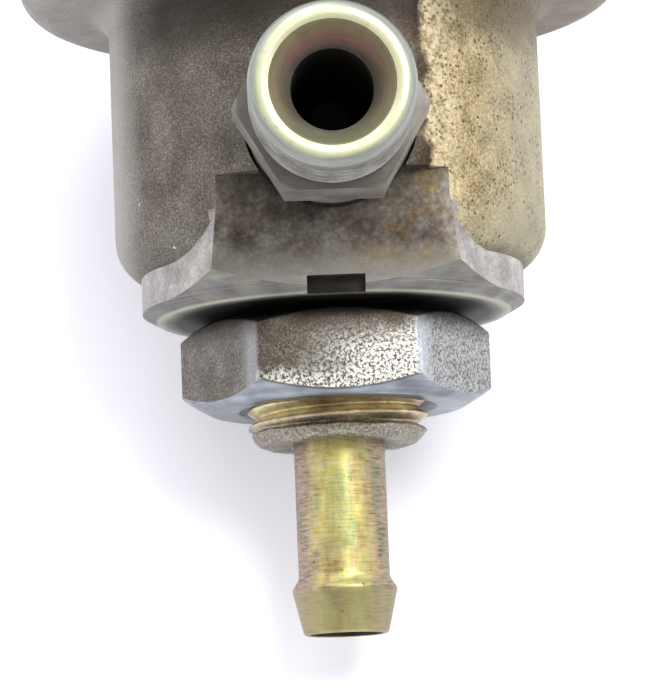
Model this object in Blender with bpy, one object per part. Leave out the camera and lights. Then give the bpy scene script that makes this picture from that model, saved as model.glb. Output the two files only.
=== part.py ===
"""Diaphragm pressure regulator with a threaded inlet, a bracket stud and a hose tail.

The main axis is Z: cover on top, hose tail at the bottom. The inlet faces -Y.
The origin is the centre of the seat face, where the collar bears on its bracket.
Sizes below are in millimetres; the scene is in metres.
"""
import math

import bmesh
import bpy
from mathutils import Matrix, Vector

MM = 0.001
GAP = 0.3              # between pieces that touch on the real object
RUNNING_GAP = 0.1      # between a piece that turns and what it turns on

# Body of the lower housing
CAN_R = 19.3
COLLAR_R = 17.1
SEAT_R = 15.6          # outer edge of the seat, where the collar's chamfer starts
SEAT_RISE = 0.84       # height of the chamfer where it meets the collar
SEAT_LAND_R = 14.4     # the seat is a raised land outside this radius
SEAT_RELIEF = 0.3
CAN_FOOT_RADIUS = 4.0
CAN_FOOT_Z = 3.5       # where the can's rounded foot starts
FLANGE_R = 27.3
FLANGE_Z = 28.1        # underside of the flange
FLANGE_THICK = 2.0
FLANGE_FILLET = 2.2
CRIMP_TOP_Z = 34.7
CRIMP_LIP_R = 23.2     # inner edge of the rolled lip
CRIMP_THICK = 1.3
CHAMBER_R = 9.5        # fluid chamber round the valve seat
CHAMBER_Z = 8.1
POCKET_R = 16.3        # wide pocket under the diaphragm
POCKET_Z = 23.1

# Front block with its milled flat
FLAT_Y = 16.5
BLOCK_TOP_Z = 10.3
BLOCK_FOOT_Z = SEAT_RISE + 0.05
BLOCK_HALF_TOP = 9.8
BLOCK_HALF_FOOT = 10.8
MILLING_STOCK = 0.7    # how far the block stands out before the flat is milled
SPOTFACE_R = 8.0
NOTCH_W = 5.0
NOTCH_H = 1.4
NOTCH_DEPTH = 1.4

# Inlet fitting, M14x1.5, on an axis along Y
PORT_Z = 14.5
LIP_Y = 34.5           # distance of the lip from the main axis
LIP_R = 6.4
CONE_R = 5.3
INLET_BORE_R = 3.45
INLET_THREAD_R = 7.0
THREAD_PITCH = 1.5
THREAD_DEPTH = 0.9
INLET_THREAD_END = 7.8
HEX_AF = 14.5
HEX_FRONT_Y = 25.4
HEX_BACK_Y = 20.0
NECK_R = 7.2
SHANK_R = 5.7
SHANK_END_Y = 11.2
WASHER_R = 7.6
WASHER_THICK = 1.0

# Bracket stud, M16x1.5, and its nut
STUD_R = 8.0
STUD_END_R = 7.0
STUD_END_Z = -11.5
STUD_FLANGE_R = 9.1
STUD_FLANGE_THICK = 2.0
NUT_AF = 24.0
NUT_TOP_Z = -0.3
NUT_THICK = 8.0
NUT_FACE_R = 11.3      # circle left by the chamfer on each face
NUT_TURN = 0.5         # degrees from square to the inlet

# Hose tail
STEM_R = 4.05
STEM_BORE_R = 3.0
STEM_END_Z = -28.3
STEM_TIP_R = 3.8
BARB_R = 4.65
BARB_Z = -24.5
BARB_RAMP = 1.2

# Valve
SEAT_Z = 23.1
SEAT_LIP_R = 3.2
SEAT_BORE_R = 2.6
SEAT_TUBE_R = 4.2
SEAT_FOOT_R = 6.5
PLATE_R = 4.3
PLATE_NOSE_R = 3.4
PLATE_LIFT = 0.1       # rest clearance over the seat
BALL_R = 1.4
BALL_Z = 25.85
CARRIER_R = 6.2
CARRIER_FOOT_Z = 23.0
CARRIER_TOP_Z = 29.0
POST_R = 3.0

# Diaphragm stack and spring side
DIAPHRAGM_R = 25.0
DIAPHRAGM_THICK = 1.0
ROLL_IN_R = 12.9
ROLL_OUT_R = 15.9
ROLL_RISE = 1.4
SUPPORT_R = 11.5
SUPPORT_THICK = 0.8
SPRING_PLATE_R = 12.4
COVER_R = 17.6
COVER_TOP_Z = 55.1
COVER_THICK = 1.4
COVER_CORNER = 3.5
SPRING_MEAN_R = 9.4
SPRING_WIRE_R = 1.25
SPRING_TURNS = 5.0
NIPPLE_R = 2.6
NIPPLE_BORE_R = 1.2
NIPPLE_TOP_Z = 67.1

ROUND = 36             # sides of the large turned pieces
SMALL_ROUND = 24


def clear_scene():
    for item in list(bpy.data.objects):
        bpy.data.objects.remove(item, do_unlink=True)


def finish(name, colour, roughness, metallic):
    """One Principled material for one piece."""
    mat = bpy.data.materials.new(name)
    mat.use_nodes = True
    shader = mat.node_tree.nodes["Principled BSDF"]
    shader.inputs["Base Color"].default_value = (*colour, 1.0)
    shader.inputs["Roughness"].default_value = roughness
    shader.inputs["Metallic"].default_value = metallic
    return mat


def add_object(name, mesh, mat=None):
    obj = bpy.data.objects.new(name, mesh)
    bpy.context.scene.collection.objects.link(obj)
    if mat:
        mesh.materials.append(mat)
    return obj


def as_cutter(obj):
    """A helper shape: seen as a wire, never part of the model."""
    obj.hide_render = True
    obj.display_type = "WIRE"
    return obj


def shape(target, helper, operation):
    mod = target.modifiers.new(helper.name, "BOOLEAN")
    mod.solver = "EXACT"
    mod.operation = operation
    mod.object = helper


def arc(centre, radius, start, end, steps):
    """Points on an arc in the (radius, height) plane; angles in degrees."""
    points = []
    for i in range(steps + 1):
        angle = math.radians(start + (end - start) * i / steps)
        points.append((centre[0] + radius * math.cos(angle), centre[1] + radius * math.sin(angle)))
    return points


def thread(crest_r, start, end):
    """Ridge profile of a thread between two heights, going from start to end."""
    count = int(abs(end - start) / THREAD_PITCH)
    step = math.copysign(THREAD_PITCH, end - start)
    points = []
    for i in range(count):
        height = start + i * step
        points.append((crest_r - THREAD_DEPTH, height))
        points.append((crest_r, height + step * 0.5))
    points.append((crest_r - THREAD_DEPTH, start + count * step))
    return points


def turned(name, profile, mat=None, sides=ROUND, closed=True, along_y=False):
    """Spin a (radius, height) profile round Z, or round -Y where along_y is set.

    An open profile starts and ends on the axis.
    """
    bm = bmesh.new()
    verts = [bm.verts.new((r * MM, 0.0, z * MM)) for r, z in profile]
    pairs = list(zip(verts, verts[1:]))
    if closed:
        pairs.append((verts[-1], verts[0]))
    edges = [bm.edges.new(pair) for pair in pairs]
    bmesh.ops.spin(bm, geom=verts + edges, cent=(0, 0, 0), axis=(0, 0, 1),
                   angle=math.tau, steps=sides, use_merge=True)
    bmesh.ops.remove_doubles(bm, verts=bm.verts, dist=1e-6)
    bmesh.ops.dissolve_degenerate(bm, edges=bm.edges, dist=1e-7)
    if along_y:
        bmesh.ops.rotate(bm, verts=bm.verts, matrix=Matrix.Rotation(math.radians(90), 3, "X"))
    bmesh.ops.recalc_face_normals(bm, faces=bm.faces)
    mesh = bpy.data.meshes.new(name)
    bm.to_mesh(mesh)
    bm.free()
    mesh.shade_smooth()
    mesh.set_sharp_from_angle(angle=math.radians(35))
    return add_object(name, mesh, mat)


def prism(name, outline_low, outline_high, low, high, mat=None):
    """A straight or tapered prism between two outlines with the same point count."""
    bm = bmesh.new()
    rings = []
    for outline, z in ((outline_low, low), (outline_high, high)):
        rings.append([bm.verts.new((x * MM, y * MM, z * MM)) for x, y in outline])
    for i in range(len(rings[0])):
        j = (i + 1) % len(rings[0])
        bm.faces.new((rings[0][i], rings[0][j], rings[1][j], rings[1][i]))
    for ring in rings:
        bm.faces.new(ring)
    bmesh.ops.recalc_face_normals(bm, faces=bm.faces)
    mesh = bpy.data.meshes.new(name)
    bm.to_mesh(mesh)
    bm.free()
    return add_object(name, mesh, mat)


def box(name, low, high):
    outline = [(low[0], low[1]), (high[0], low[1]), (high[0], high[1]), (low[0], high[1])]
    return prism(name, outline, outline, low[2], high[2])


def hexagon(across_flats, turn):
    radius = across_flats / math.sqrt(3)
    angles = [math.radians(turn + 30 + 60 * i) for i in range(6)]
    return [(radius * math.cos(a), radius * math.sin(a)) for a in angles]


def coil(name, mean_r, wire_r, low, high, turns, mat, steps_per_turn, resolution):
    """A helical spring: a bevelled curve with filled ends."""
    curve = bpy.data.curves.new(name, "CURVE")
    curve.dimensions = "3D"
    curve.bevel_depth = wire_r * MM
    curve.bevel_resolution = resolution
    curve.use_fill_caps = True
    count = int(turns * steps_per_turn) + 1
    spline = curve.splines.new("POLY")
    spline.points.add(count - 1)
    for i in range(count):
        share = i / (count - 1)
        angle = share * turns * math.tau
        height = low + wire_r + (high - low - 2 * wire_r) * share
        spline.points[i].co = (mean_r * math.cos(angle) * MM, mean_r * math.sin(angle) * MM,
                               height * MM, 1.0)
    curve.materials.append(mat)
    obj = bpy.data.objects.new(name, curve)
    bpy.context.scene.collection.objects.link(obj)
    return obj


def block_outline(half_width):
    """A front edge, just proud of the milled flat, and two flanks back to the collar."""
    front = -FLAT_Y - MILLING_STOCK
    corner = Vector((half_width, -FLAT_Y))
    reach = COLLAR_R - 0.1
    spread = math.atan2(corner.y, corner.x) + math.acos(reach / corner.length)
    tangent = (reach * math.cos(spread), reach * math.sin(spread))
    slope = (corner.x - tangent[0]) / (corner.y - tangent[1])
    edge = half_width + slope * (front - corner.y)
    return [(-edge, front), (edge, front), tangent, (0.0, 0.0), (-tangent[0], tangent[1])]


def flat_outline():
    """The milled flat seen from the front: square below, round about the port above."""
    wide = BLOCK_HALF_FOOT + 3.0
    shoulder = BLOCK_TOP_Z + 0.1
    start = -math.degrees(math.asin((PORT_Z - shoulder) / SPOTFACE_R))
    points = [(-wide, shoulder), (-wide, -3.0), (wide, -3.0), (wide, shoulder)]
    return points + arc((0.0, PORT_Z), SPOTFACE_R, start, 180 - start, 20)


def build_lower_housing():
    steel = finish("blasted_steel", (0.21, 0.19, 0.165), 0.62, 0.85)
    foot = CAN_R - CAN_FOOT_RADIUS
    foot_start = -math.degrees(math.acos((COLLAR_R - foot) / CAN_FOOT_RADIUS))
    roll_low = 3.0
    roll_high = 2.0
    profile = [(0.0, 0.0), (SEAT_R, 0.0), (COLLAR_R, SEAT_RISE)]
    profile += arc((foot, CAN_FOOT_Z + CAN_FOOT_RADIUS), CAN_FOOT_RADIUS, foot_start, 0, 4)
    fillet_centre = (CAN_R + FLANGE_FILLET, FLANGE_Z - FLANGE_FILLET)
    profile += arc(fillet_centre, FLANGE_FILLET, 180, 90, 3)
    profile += arc((FLANGE_R - roll_low, FLANGE_Z + roll_low), roll_low, -90, 0, 4)
    profile += arc((FLANGE_R - roll_high, CRIMP_TOP_Z - roll_high), roll_high, 0, 90, 3)
    profile += [(CRIMP_LIP_R - 6.0, CRIMP_TOP_Z), (0.0, CRIMP_TOP_Z)]
    housing = turned("lower_housing", profile, steel, closed=False)

    block = as_cutter(prism("front_block", block_outline(BLOCK_HALF_FOOT),
                            block_outline(BLOCK_HALF_TOP), BLOCK_FOOT_Z, BLOCK_TOP_Z))
    envelope_r = 22.0
    slope = SEAT_RISE / (COLLAR_R - SEAT_R)
    envelope = as_cutter(turned("turning_envelope", [
        (0.0, -1.0), (SEAT_R - 1.0 / slope, -1.0), (envelope_r, (envelope_r - SEAT_R) * slope),
        (envelope_r, BLOCK_TOP_Z + 1.0), (0.0, BLOCK_TOP_Z + 1.0)], closed=False))
    shape(block, envelope, "INTERSECT")
    shape(housing, block, "UNION")

    flat = as_cutter(prism("milled_flat", flat_outline(), flat_outline(), FLAT_Y, FLAT_Y + 6.0))
    flat.rotation_euler.x = math.radians(90)
    shape(housing, flat, "DIFFERENCE")

    half = NOTCH_W / 2
    notch = as_cutter(box("front_notch", (-half, -FLAT_Y - 2.0, -1.0),
                          (half, -FLAT_Y + NOTCH_DEPTH, NOTCH_H)))
    shape(housing, notch, "DIFFERENCE")

    groove_r = FLANGE_R - CRIMP_THICK
    groove_low = FLANGE_Z + FLANGE_THICK
    inside = as_cutter(turned("housing_inside", [
        (0.0, -1.0), (SEAT_LAND_R, -1.0), (SEAT_LAND_R, SEAT_RELIEF), (STUD_R + GAP, SEAT_RELIEF),
        (STUD_R + GAP, CHAMBER_Z), (CHAMBER_R, CHAMBER_Z),
        (CHAMBER_R, POCKET_Z), (POCKET_R, POCKET_Z), (POCKET_R, groove_low),
        (groove_r, groove_low), (groove_r, CRIMP_TOP_Z - CRIMP_THICK),
        (CRIMP_LIP_R, CRIMP_TOP_Z - CRIMP_THICK), (CRIMP_LIP_R, CRIMP_TOP_Z + 1.0),
        (0.0, CRIMP_TOP_Z + 1.0)], closed=False))
    shape(housing, inside, "DIFFERENCE")

    hole_r = SHANK_R + GAP
    tapping = as_cutter(turned("inlet_hole", [
        (0.0, CHAMBER_R - 2.0), (INLET_BORE_R, CHAMBER_R - 2.0), (INLET_BORE_R, SHANK_END_Y - GAP),
        (hole_r, SHANK_END_Y - GAP), (hole_r, FLAT_Y + 6.0), (0.0, FLAT_Y + 6.0)],
        sides=SMALL_ROUND, closed=False, along_y=True))
    tapping.location.z = PORT_Z * MM
    shape(housing, tapping, "DIFFERENCE")


def build_inlet():
    zinc = finish("zinc_plated_steel", (0.62, 0.62, 0.54), 0.34, 0.95)
    hex_turn_r = HEX_AF / math.sqrt(3)
    chamfer = LIP_Y - (INLET_THREAD_R - LIP_R)
    thread_end = LIP_Y - INLET_THREAD_END
    profile = [(0.0, SHANK_END_Y), (SHANK_R, SHANK_END_Y), (SHANK_R, FLAT_Y + WASHER_THICK + 2 * GAP),
               (NECK_R, FLAT_Y + WASHER_THICK + 2 * GAP), (NECK_R, HEX_BACK_Y + 0.5),
               (INLET_THREAD_R - THREAD_DEPTH, HEX_BACK_Y + 0.6)]
    profile += thread(INLET_THREAD_R, thread_end, chamfer)
    profile += [(LIP_R, LIP_Y), (0.0, LIP_Y)]
    fitting = turned("inlet_fitting", profile, zinc, SMALL_ROUND, closed=False, along_y=True)
    fitting.location.z = PORT_Z * MM

    hex_block = as_cutter(prism("fitting_hex", hexagon(HEX_AF, 30), hexagon(HEX_AF, 30),
                                HEX_BACK_Y, HEX_FRONT_Y))
    hex_block.rotation_euler.x = math.radians(90)
    hex_block.location.z = PORT_Z * MM
    corner_cut = 0.7
    rounding = as_cutter(turned("fitting_hex_rounding", [
        (0.0, HEX_BACK_Y - 1.0), (hex_turn_r + 1.0, HEX_BACK_Y - 1.0),
        (hex_turn_r + 1.0, HEX_FRONT_Y - corner_cut), (HEX_AF / 2, HEX_FRONT_Y + 0.3),
        (0.0, HEX_FRONT_Y + 0.3)], sides=SMALL_ROUND, closed=False, along_y=True))
    rounding.location.z = PORT_Z * MM
    shape(hex_block, rounding, "INTERSECT")
    shape(fitting, hex_block, "UNION")

    cone_depth = (CONE_R - INLET_BORE_R) / math.tan(math.radians(30))
    bore = as_cutter(turned("inlet_bore", [
        (0.0, SHANK_END_Y - 1.0), (INLET_BORE_R, SHANK_END_Y - 1.0),
        (INLET_BORE_R, LIP_Y - cone_depth), (CONE_R, LIP_Y), (CONE_R, LIP_Y + 1.0),
        (0.0, LIP_Y + 1.0)], sides=SMALL_ROUND, closed=False, along_y=True))
    bore.location.z = PORT_Z * MM
    shape(fitting, bore, "DIFFERENCE")

    copper = finish("copper_washer", (0.45, 0.26, 0.17), 0.45, 1.0)
    low = FLAT_Y + GAP
    high = low + WASHER_THICK
    inner = SHANK_R + GAP
    washer = turned("inlet_washer", [(inner, low), (WASHER_R, low), (WASHER_R, high), (inner, high)],
                    copper, SMALL_ROUND, along_y=True)
    washer.location.z = PORT_Z * MM

    gauze = finish("strainer_gauze", (0.45, 0.40, 0.30), 0.55, 0.8)
    outer = INLET_BORE_R - GAP
    wall = 0.4
    foot_y = SHANK_END_Y + 0.5
    tip_y = foot_y + 6.5
    strainer = turned("inlet_strainer", [
        (outer - wall, foot_y), (outer, foot_y), (outer, foot_y + 1.5), (1.6, tip_y), (0.0, tip_y),
        (0.0, tip_y - wall), (1.6 - wall, tip_y - wall), (outer - wall, foot_y + 1.5)],
        gauze, 20, along_y=True)
    strainer.location.z = PORT_Z * MM


def build_stud_and_tail():
    chromate = finish("yellow_chromate_steel", (0.50, 0.42, 0.24), 0.36, 0.95)
    flange_low = CHAMBER_Z + 1.2
    flange_high = flange_low + STUD_FLANGE_THICK
    bore_r = STEM_R + GAP
    core_r = STUD_R - THREAD_DEPTH
    profile = [(bore_r, STUD_END_Z), (STUD_END_R, STUD_END_Z), (STUD_R - 0.1, STUD_END_Z + 1.2)]
    profile += thread(STUD_R, STUD_END_Z + 1.5, NUT_TOP_Z)
    profile += [(core_r, -0.4), (STUD_R, -0.2), (STUD_R, flange_low), (STUD_FLANGE_R, flange_low),
                (STUD_FLANGE_R, flange_high), (bore_r, flange_high)]
    turned("outlet_stud", profile, chromate)

    ring = finish("stud_seal", (0.42, 0.24, 0.16), 0.5, 1.0)
    seal_low = CHAMBER_Z + GAP
    seal_high = flange_low - GAP
    turned("stud_seal_ring", [(STUD_R + GAP, seal_low), (STUD_FLANGE_R, seal_low),
                              (STUD_FLANGE_R, seal_high), (STUD_R + GAP, seal_high)], ring)

    gold = finish("chromated_tube", (0.62, 0.52, 0.28), 0.28, 1.0)
    tip_chamfer = 0.25
    turned("hose_stem", [
        (STEM_BORE_R + tip_chamfer, STEM_END_Z), (STEM_TIP_R - tip_chamfer, STEM_END_Z),
        (STEM_TIP_R, STEM_END_Z + tip_chamfer), (BARB_R, BARB_Z), (BARB_R, BARB_Z + 0.3),
        (STEM_R, BARB_Z + BARB_RAMP), (STEM_R, flange_high - GAP),
        (STEM_BORE_R, flange_high - GAP), (STEM_BORE_R, STEM_END_Z + tip_chamfer)],
        gold, SMALL_ROUND)

    bright = finish("ground_steel", (0.55, 0.55, 0.56), 0.22, 1.0)
    foot = flange_high + GAP
    turned("valve_seat", [
        (SEAT_BORE_R, foot), (SEAT_FOOT_R, foot), (SEAT_FOOT_R, foot + 1.5),
        (SEAT_TUBE_R, foot + 1.5), (SEAT_TUBE_R, SEAT_Z - 2.0), (SEAT_LIP_R, SEAT_Z - 1.0),
        (SEAT_LIP_R, SEAT_Z), (SEAT_BORE_R, SEAT_Z)], bright, SMALL_ROUND)


def build_lock_nut():
    zinc = finish("zinc_nut_steel", (0.42, 0.42, 0.41), 0.42, 0.95)
    low = NUT_TOP_Z - NUT_THICK
    outline = hexagon(NUT_AF, 30)
    nut = prism("lock_nut", outline, outline, low, NUT_TOP_Z, zinc)
    nut.rotation_euler.z = math.radians(NUT_TURN)
    corner_r = NUT_AF / math.sqrt(3) + 0.4
    drop = (corner_r - NUT_FACE_R) * math.tan(math.radians(30))
    over = 0.5
    spread = over / math.tan(math.radians(30))
    crown = as_cutter(turned("nut_crown", [
        (0.0, low - over), (NUT_FACE_R - spread, low - over), (corner_r, low + drop),
        (corner_r, NUT_TOP_Z - drop), (NUT_FACE_R - spread, NUT_TOP_Z + over),
        (0.0, NUT_TOP_Z + over)], closed=False))
    shape(nut, crown, "INTERSECT")
    bore_r = STUD_R + RUNNING_GAP
    mouth = 0.8
    bore = as_cutter(turned("nut_bore", [
        (0.0, low - 1.0), (bore_r + mouth + 1.0, low - 1.0), (bore_r, low + mouth),
        (bore_r, NUT_TOP_Z - mouth), (bore_r + mouth + 1.0, NUT_TOP_Z + 1.0),
        (0.0, NUT_TOP_Z + 1.0)], closed=False))
    shape(nut, bore, "DIFFERENCE")


def build_valve():
    steel = finish("valve_steel", (0.46, 0.46, 0.47), 0.3, 1.0)
    pocket_r = PLATE_R + 0.4
    ring_seat_r = CARRIER_R - 0.7
    pocket_low = CARRIER_FOOT_Z + 1.05
    pocket_high = BALL_Z + BALL_R + 0.35
    stack = CARRIER_TOP_Z + SUPPORT_THICK + DIAPHRAGM_THICK + 3 * GAP
    plate_top = stack + 1.2 + GAP
    turned("valve_carrier", [
        (0.0, pocket_high), (pocket_r, pocket_high), (pocket_r, pocket_low),
        (ring_seat_r, pocket_low), (ring_seat_r, CARRIER_FOOT_Z), (CARRIER_R, CARRIER_FOOT_Z),
        (CARRIER_R, CARRIER_TOP_Z), (POST_R, CARRIER_TOP_Z), (POST_R, plate_top),
        (POST_R + 1.1, plate_top), (POST_R + 0.9, plate_top + 0.8), (0.0, plate_top + 1.0)],
        steel, SMALL_ROUND, closed=False)

    ring = finish("retainer_steel", (0.35, 0.35, 0.36), 0.4, 1.0)
    turned("valve_retainer", [
        (PLATE_NOSE_R + 0.35, CARRIER_FOOT_Z + 0.15), (ring_seat_r - GAP, CARRIER_FOOT_Z + 0.15),
        (ring_seat_r - GAP, CARRIER_FOOT_Z + 0.75), (PLATE_NOSE_R + 0.35, CARRIER_FOOT_Z + 0.75)],
        ring, SMALL_ROUND)

    lapped = finish("lapped_steel", (0.60, 0.60, 0.61), 0.15, 1.0)
    low = SEAT_Z + PLATE_LIFT
    shoulder = low + 0.9
    top = shoulder + 1.0
    dimple_r = BALL_R + 0.2
    dimple_angle = math.degrees(math.asin((BALL_Z - top) / dimple_r))
    profile = [(0.0, low), (PLATE_NOSE_R, low), (PLATE_NOSE_R, shoulder), (PLATE_R, shoulder),
               (PLATE_R, top)]
    profile += arc((0.0, BALL_Z), dimple_r, -dimple_angle, -90, 4)
    plate = turned("valve_plate", [(r, z - BALL_Z) for r, z in profile], lapped, SMALL_ROUND,
                   closed=False)
    plate.location.z = BALL_Z * MM

    ball = finish("ball_steel", (0.65, 0.65, 0.66), 0.08, 1.0)
    bm = bmesh.new()
    bmesh.ops.create_uvsphere(bm, u_segments=16, v_segments=8, radius=BALL_R * MM)
    mesh = bpy.data.meshes.new("valve_ball")
    bm.to_mesh(mesh)
    bm.free()
    mesh.shade_smooth()
    sphere = add_object("valve_ball", mesh, ball)
    sphere.location.z = BALL_Z * MM

    wire = finish("spring_wire", (0.30, 0.30, 0.31), 0.35, 1.0)
    coil("ball_spring", 2.9, 0.25, top + GAP, pocket_high - GAP, 2.5, wire, 12, 1)


def build_diaphragm_stack():
    rubber = finish("rubberised_fabric", (0.03, 0.03, 0.032), 0.75, 0.0)
    low = CARRIER_TOP_Z + SUPPORT_THICK + 2 * GAP
    high = low + DIAPHRAGM_THICK
    hole = POST_R + GAP
    middle = (ROLL_IN_R + ROLL_OUT_R) / 2
    half = (ROLL_OUT_R - ROLL_IN_R) / 2

    def roll(base, direction):
        points = []
        for i in range(5):
            share = i / 4 if direction > 0 else 1 - i / 4
            radius = ROLL_IN_R + (ROLL_OUT_R - ROLL_IN_R) * share
            lift = ROLL_RISE * (0.5 + 0.5 * math.cos(math.pi * (radius - middle) / half))
            points.append((radius, base + lift))
        return points

    profile = [(hole, low)] + roll(low, 1) + [(DIAPHRAGM_R, low), (DIAPHRAGM_R, high)]
    profile += roll(high, -1) + [(hole, high)]
    turned("diaphragm", profile, rubber, SMALL_ROUND)

    pressed = finish("pressed_steel", (0.38, 0.38, 0.38), 0.4, 1.0)
    support = CARRIER_TOP_Z + GAP
    turned("support_washer", [
        (hole, support), (SUPPORT_R, support), (SUPPORT_R, support + SUPPORT_THICK),
        (hole, support + SUPPORT_THICK)], pressed, SMALL_ROUND)

    base = high + GAP
    rim = 2.2
    turned("spring_plate", [
        (hole, base), (SPRING_PLATE_R - 0.8, base), (SPRING_PLATE_R, base + 0.8),
        (SPRING_PLATE_R, base + rim), (SPRING_PLATE_R - 1.2, base + rim),
        (SPRING_PLATE_R - 1.2, base + 1.2), (hole, base + 1.2)],
        finish("spring_plate_steel", (0.40, 0.38, 0.30), 0.4, 1.0), SMALL_ROUND)
    return base + 1.2


def build_cover(spring_low):
    shell = finish("zinc_cover_steel", (0.36, 0.34, 0.29), 0.5, 0.9)
    flange_low = CARRIER_TOP_Z + SUPPORT_THICK + DIAPHRAGM_THICK + 3 * GAP
    flange_high = CRIMP_TOP_Z - CRIMP_THICK - GAP
    corner = (COVER_R - COVER_CORNER, COVER_TOP_Z - COVER_CORNER)
    hole = NIPPLE_R + GAP
    root = 1.5
    profile = [(COVER_R - COVER_THICK, flange_low), (DIAPHRAGM_R, flange_low),
               (DIAPHRAGM_R, flange_high), (COVER_R + root, flange_high)]
    profile += arc((COVER_R + root, flange_high + root), root, -90, -180, 2)[1:]
    profile += arc(corner, COVER_CORNER, 0, 90, 4)
    profile += [(hole, COVER_TOP_Z), (hole, COVER_TOP_Z - COVER_THICK)]
    profile += arc(corner, COVER_CORNER - COVER_THICK, 90, 0, 3)
    turned("spring_cover", profile, shell)

    brass = finish("nipple_steel", (0.55, 0.50, 0.35), 0.32, 1.0)
    inside = COVER_TOP_Z - COVER_THICK - GAP
    turned("vent_nipple", [
        (NIPPLE_BORE_R, inside - 0.8), (NIPPLE_R + 1.4, inside - 0.8), (NIPPLE_R + 1.4, inside),
        (NIPPLE_R, inside), (NIPPLE_R, COVER_TOP_Z + GAP), (NIPPLE_R + 1.2, COVER_TOP_Z + GAP),
        (NIPPLE_R + 1.0, COVER_TOP_Z + 1.5), (NIPPLE_R - 0.5, COVER_TOP_Z + 2.2),
        (NIPPLE_R - 0.5, NIPPLE_TOP_Z - 3.4), (NIPPLE_R, NIPPLE_TOP_Z - 2.8),
        (NIPPLE_R - 0.7, NIPPLE_TOP_Z), (NIPPLE_BORE_R, NIPPLE_TOP_Z)], brass, 20)

    seat_high = inside - 0.8 - GAP
    seat_low = seat_high - 1.4
    rim = 1.4
    outer = SPRING_MEAN_R + SPRING_WIRE_R + GAP + 1.0
    turned("spring_seat", [
        (NIPPLE_R, seat_low), (outer - 1.0, seat_low), (outer - 1.0, seat_low - rim),
        (outer, seat_low - rim), (outer, seat_high - 0.8), (outer - 0.8, seat_high),
        (NIPPLE_R, seat_high)], finish("seat_steel", (0.36, 0.36, 0.36), 0.4, 1.0), SMALL_ROUND)

    wire = finish("spring_steel", (0.28, 0.28, 0.29), 0.35, 1.0)
    coil("main_spring", SPRING_MEAN_R, SPRING_WIRE_R, spring_low + GAP, seat_low - GAP,
         SPRING_TURNS, wire, 16, 1)


clear_scene()
build_lower_housing()
build_inlet()
build_stud_and_tail()
build_lock_nut()
build_valve()
build_cover(build_diaphragm_stack())
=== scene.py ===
# %% [markdown]
# # Pressure regulator: looks
# The frame holds the working model: every piece at its size and place, and the joints
# that move them. This lesson builds the fine surfaces round it. A piece whose plain model
# is too coarse for a close look is turned, cut or wound again in finer steps at the same
# sizes, and takes the plain model's place. Lengths below are in millimetres, because that
# is how such a part is drawn; one constant turns them to Blender's metres.

# %% Load the frame and note its box
import math

import bpy
import numpy as np
from mathutils import Matrix, Vector


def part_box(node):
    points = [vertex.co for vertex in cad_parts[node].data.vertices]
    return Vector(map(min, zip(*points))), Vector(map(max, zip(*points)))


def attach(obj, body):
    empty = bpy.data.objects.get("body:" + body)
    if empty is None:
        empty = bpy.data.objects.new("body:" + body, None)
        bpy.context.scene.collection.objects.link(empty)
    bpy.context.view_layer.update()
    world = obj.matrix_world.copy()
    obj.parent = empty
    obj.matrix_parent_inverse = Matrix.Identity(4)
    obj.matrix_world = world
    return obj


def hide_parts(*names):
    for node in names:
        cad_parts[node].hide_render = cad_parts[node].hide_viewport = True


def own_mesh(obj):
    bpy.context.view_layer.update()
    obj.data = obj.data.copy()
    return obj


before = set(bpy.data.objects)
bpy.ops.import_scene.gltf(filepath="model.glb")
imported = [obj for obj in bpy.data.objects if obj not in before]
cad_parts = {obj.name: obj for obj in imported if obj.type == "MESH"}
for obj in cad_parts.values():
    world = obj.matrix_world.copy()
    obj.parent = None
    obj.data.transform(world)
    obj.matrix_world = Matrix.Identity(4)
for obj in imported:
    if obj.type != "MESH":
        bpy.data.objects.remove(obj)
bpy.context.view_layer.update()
MM = 0.001

# %% [markdown]
# ## Sizes that the pieces share
# A maker's drawing gives a few diameters and heights, and the rest follows. The heights of
# whole pieces are read from the frame, so that a finer piece can't drift from its place.

# %% Read the main heights from the frame
def top(node):
    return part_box(node)[1].z / MM


def bottom(node):
    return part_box(node)[0].z / MM


SEAT_Z = 0.0
CRIMP_Z = top("lower_housing")
COVER_Z = top("spring_cover")
NUT_TOP = top("lock_nut")
NUT_BOTTOM = bottom("lock_nut")
STUD_END = bottom("outlet_stud")
STEM_END = bottom("hose_stem")
LIP_Y = -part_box("inlet_fitting")[0].y / MM
PORT_Z = (top("inlet_fitting") + bottom("inlet_fitting")) / 2
FLANGE_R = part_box("lower_housing")[1].x / MM
PITCH = 1.5            # of both threads
THREAD_DEPTH = 0.85
print("seat", SEAT_Z, "crimp", round(CRIMP_Z, 2), "cover", round(COVER_Z, 2),
      "inlet at", round(PORT_Z, 2), "lip", round(LIP_Y, 2), "flange radius", round(FLANGE_R, 2))

# %% [markdown]
# ## The camera
# A small metal part is photographed from a few hand widths away with a long lens, here
# 208 mm at 356 mm, which keeps the sides of the can almost parallel. The part lies on its
# back and the lens looks a little from the hose-tail end, so the underside of the collar
# and of the flange show. A matrix built from three unit vectors places the camera: right,
# up and backwards, turned by a small roll.

# %% Place the camera
AZIMUTH = math.radians(-1.1)
ELEVATION = math.radians(-8.5)
DISTANCE = 356.0
AIM = Vector((-0.14, 0.0, -2.3))
ORBIT_CENTRE = Vector((0.0, 0.0, 1.1))
ROLL = math.radians(2.3)
LENS = 208.0

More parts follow.
